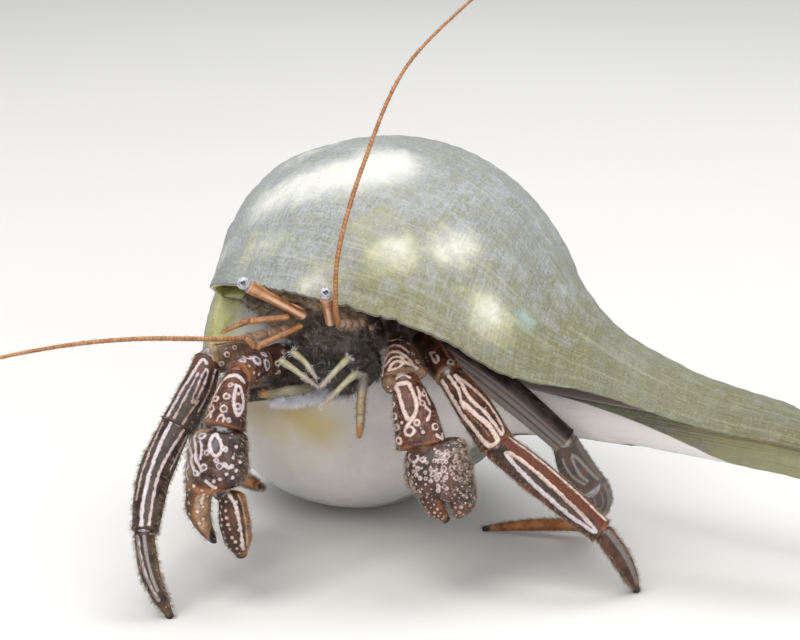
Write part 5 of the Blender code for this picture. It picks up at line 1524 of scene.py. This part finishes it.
def build_antenna(side_name, base, points, coat, orange):
    """Four joints along the base, and the ringed whip."""
    joints, previous = [], np.array(base[0])
    for place, size in ((0.5, 0.95), (1.0, 0.85), (1.55, 0.78), (2.0, 0.68)):
        point = curve_through(base, np.array([place]))[0]
        joint = feeler([previous, 0.5 * (previous + point), point + 0.12 * unit(point - previous)],
                       [(0.0, 0.8 * size), (0.6, size), (1.0, 0.92 * size)], 0.14)
        joint.tint("band", 0.18 + 0.5 * ramp(joint.spots[1], 0.3, 0.6))
        joint.tint("blue", 0.28)
        joint.tint("amber", 0.25)
        coat.on(joint, 70, everywhere(joint), 0.8, 0.02)
        joints.append(joint)
        previous = point
    skin_over(joints, "antenna_base_skin_" + side_name, "crab_orange", orange, ["antenna_base_" + side_name])
    whip = feeler([base[-1], *points], [(0.0, 0.38), (0.08, 0.35), (0.5, 0.29), (1.0, 0.17)], 0.1, 0.62, 0.05)
    skin_over([whip], "antenna_skin_" + side_name, "crab_orange", orange, ["antenna_" + side_name])
    coat.on(whip, 420, everywhere(whip), 0.42, 0.014, bunch=2, spread=0.2)


def build_palps(white, palp):
    tubes = []
    for points in MOUTH_PALPS.values():
        tube = feeler(points, [(0.0, 0.5), (0.12, 0.6), (0.3, 0.48), (0.7, 0.4), (1.0, 0.24)], 0.1)
        share, side, _ = tube.spots
        # Painted highlight: lighter along the middle, darker at the edges.
        tube.tint("pale", 0.05 + 0.1 * np.cos(side * 3.0))
        tube.tint("pink", 0.8, share=(0.5, 0.8))
        white.on(tube, 60, share > 0.55, 0.7, 0.014, lean=1.4, bunch=2)
        white.on(tube, 40, share < 0.1, 0.8, 0.022, lean=-0.4)
        tubes.append(tube)
    skin_over(tubes, "palps", "crab_palp", palp, list(MOUTH_PALPS))


def build_maxillipeds(coat, white, palp):
    left = feeler(MAXILLIPED_LEFT, [(0.0, 0.75), (0.3, 0.8), (0.36, 0.68), (0.5, 0.8), (0.62, 0.66),
                                    (0.75, 0.72), (1.0, 0.4)], 0.14)
    share, side, _ = left.spots
    left.tint("blue", 0.35, share=(0.36, 0.26))
    left.tint("band", 0.8, share=(0.36, 0.26))
    left.tint("band", 0.15 + 0.45 * ramp(np.abs(side), 0.45, 0.75))
    left.tint("band", 0.8 * bell(share, 0.62, 0.02) + 0.7 * bell(share, 0.4, 0.02)
              + 0.35 * bell(share, 0.82, 0.015))
    left.tint("amber", 0.2 + 0.75 * ramp(share, 0.74, 0.8))
    right = feeler(MAXILLIPED_RIGHT, [(0.0, 1.0), (0.25, 1.2), (0.38, 1.0), (0.55, 1.2), (0.72, 0.85),
                                      (0.85, 0.8), (1.0, 0.5)])
    share, side, _ = right.spots
    right.tint("band", 0.6 + 0.25 * ramp(share, 0.45, 0.25))
    right.tint("pale", 0.35 * bell(share, 0.55, 0.1), side=(0.0, -1.0))
    right.tint("amber", 0.9, share=(0.86, 0.91))
    for name, tube in (("left", left), ("right", right)):
        skin_over([tube], "maxilliped_skin_" + name, "crab_palp", palp, ["maxilliped_" + name])
        coat.on(tube, 140, everywhere(tube), 0.7, 0.02)
    white.on(right, 900, (side > 0.25) & (share < 0.8), 2.0, 0.03, lean=0.1, spread=0.25)


def build_head(orange, palp, eye, pale_hair, hair):
    coat, white = Coat(), Coat()
    build_eye("right", EYE_RIGHT, (0.05, -1.0, 0.32), 0.6, 0.75, coat, orange, eye)
    build_eye("left", EYE_LEFT, (0.1, -1.0, 0.4), 0.3, 0.95, coat, orange, eye)
    build_antennule("right", ANTENNULE_RIGHT, 0.15, coat, orange)
    build_antennule("left", ANTENNULE_LEFT, 0.32, coat, orange)
    build_antenna("right", PEDUNCLE_RIGHT, FLAGELLUM_RIGHT, coat, orange)
    build_antenna("left", PEDUNCLE_LEFT, FLAGELLUM_LEFT, coat, orange)
    build_palps(white, palp)
    build_maxillipeds(coat, white, palp)
    coat.become("head_bristles", "crab_orange", hair)
    white.become("mouth_bristles", "crab_palp", pale_hair)


# ---------------------------------------------------------------- the floor, light and camera
def plain_floor():
    """A floor that bends up into a backdrop."""
    paint = Surface("studio_floor", 0.8)
    cloud = paint.step(paint.noise(3.0, 2.0, 0.5), 0.3, 0.7)
    paint.colour = paint.mix(cloud, (0.66, 0.64, 0.61), (0.69, 0.67, 0.64))
    size, back, bend, rise = 3.0, 0.9, 0.5, 1.6
    outline = [(-size, 0.0), *((back + bend * sin(angle), bend - bend * cos(angle))
                               for angle in np.linspace(0.0, pi / 2.0, 14)), (back + bend, rise)]
    mesh = bpy.data.meshes.new("studio_floor")
    mesh.from_pydata([(x, y, z) for y, z in outline for x in (-size, size)], [],
                     [(k, k + 1, k + 3, k + 2) for k in range(0, 2 * len(outline) - 2, 2)])
    mesh.shade_smooth()
    mesh.materials.append(paint.finish())
    floor = bpy.data.objects.new("studio_floor", mesh)
    bpy.context.scene.collection.objects.link(floor)


def studio():
    scene = bpy.context.scene
    scene.view_settings.view_transform = "Standard"
    scene.world = bpy.data.worlds.new("studio")
    scene.world.use_nodes = True
    background = scene.world.node_tree.nodes["Background"]
    background.inputs["Color"].default_value = (0.86, 0.92, 1.0, 1.0)
    background.inputs["Strength"].default_value = 0.6
    for name, place, energy, size, colour in (
            ("key", (-0.25, -0.45, 0.85), 6.8, 0.55, (1.0, 0.98, 0.96)),
            ("top", (0.25, 0.15, 0.95), 6.0, 0.7, (0.98, 0.99, 1.0)),
            ("front", (0.25, -0.9, 0.14), 4.3, 0.7, (1.0, 0.99, 0.97))):
        light = bpy.data.lights.new(name, "AREA")
        light.energy, light.size, light.color = energy, size, colour
        lamp = bpy.data.objects.new(name, light)
        lamp.location = place
        lamp.rotation_euler = (Vector((0.0, -0.02, 0.03)) - Vector(place)).to_track_quat("-Z", "Y").to_euler()
        scene.collection.objects.link(lamp)
    lens = bpy.data.cameras.new("camera")
    lens.lens, lens.sensor_width, lens.clip_start = 100.0, 36.0, 0.01
    scene.camera = bpy.data.objects.new("camera", lens)
    scene.camera.location = (0.0065, -0.3662, 0.13)
    scene.camera.rotation_euler = (deg(75.0), 0.0, 0.0)
    scene.collection.objects.link(scene.camera)


def build():
    skin = crab_material()
    soft = plain_material("soft_skin", (0.3, 0.15, 0.11), (0.42, 0.26, 0.19), 500.0, 0.4,
                          Subsurface_Weight=0.15, Subsurface_Scale=0.002)
    # The third colour is the pale layer: the painted highlight on eyestalks and antennules, and the eye
    # scales' pale tint.
    orange = plain_material("feeler_orange", (0.29, 0.105, 0.03), (0.44, 0.205, 0.078), 900.0, 0.35,
                            (0.8, 0.52, 0.37))
    palp = plain_material("palp_green", (0.25, 0.22, 0.12), (0.38, 0.35, 0.22), 900.0, 0.4)
    hair = hair_material("bristle_tan", (0.21, 0.14, 0.095), (0.43, 0.35, 0.26))
    pale_hair = hair_material("bristle_pale", (0.62, 0.61, 0.66), (0.82, 0.81, 0.86))
    dark_hair = hair_material("bristle_dark", (0.03, 0.027, 0.024), (0.11, 0.1, 0.09))
    ShellSkin().become(shell_material())
    body_coat = build_shield(skin)
    build_hind_body(skin, soft)
    build_chest(skin)
    body_coat.become("body_bristles", "crab_tan", hair)
    build_mouth_field(skin, dark_hair, hair, pale_hair)
    build_right_claw(skin, hair)
    build_left_claw(skin, hair)
    build_legs(skin, hair)
    build_head(orange, palp, eye_material(), pale_hair, hair)
    plain_floor()
    studio()


build()
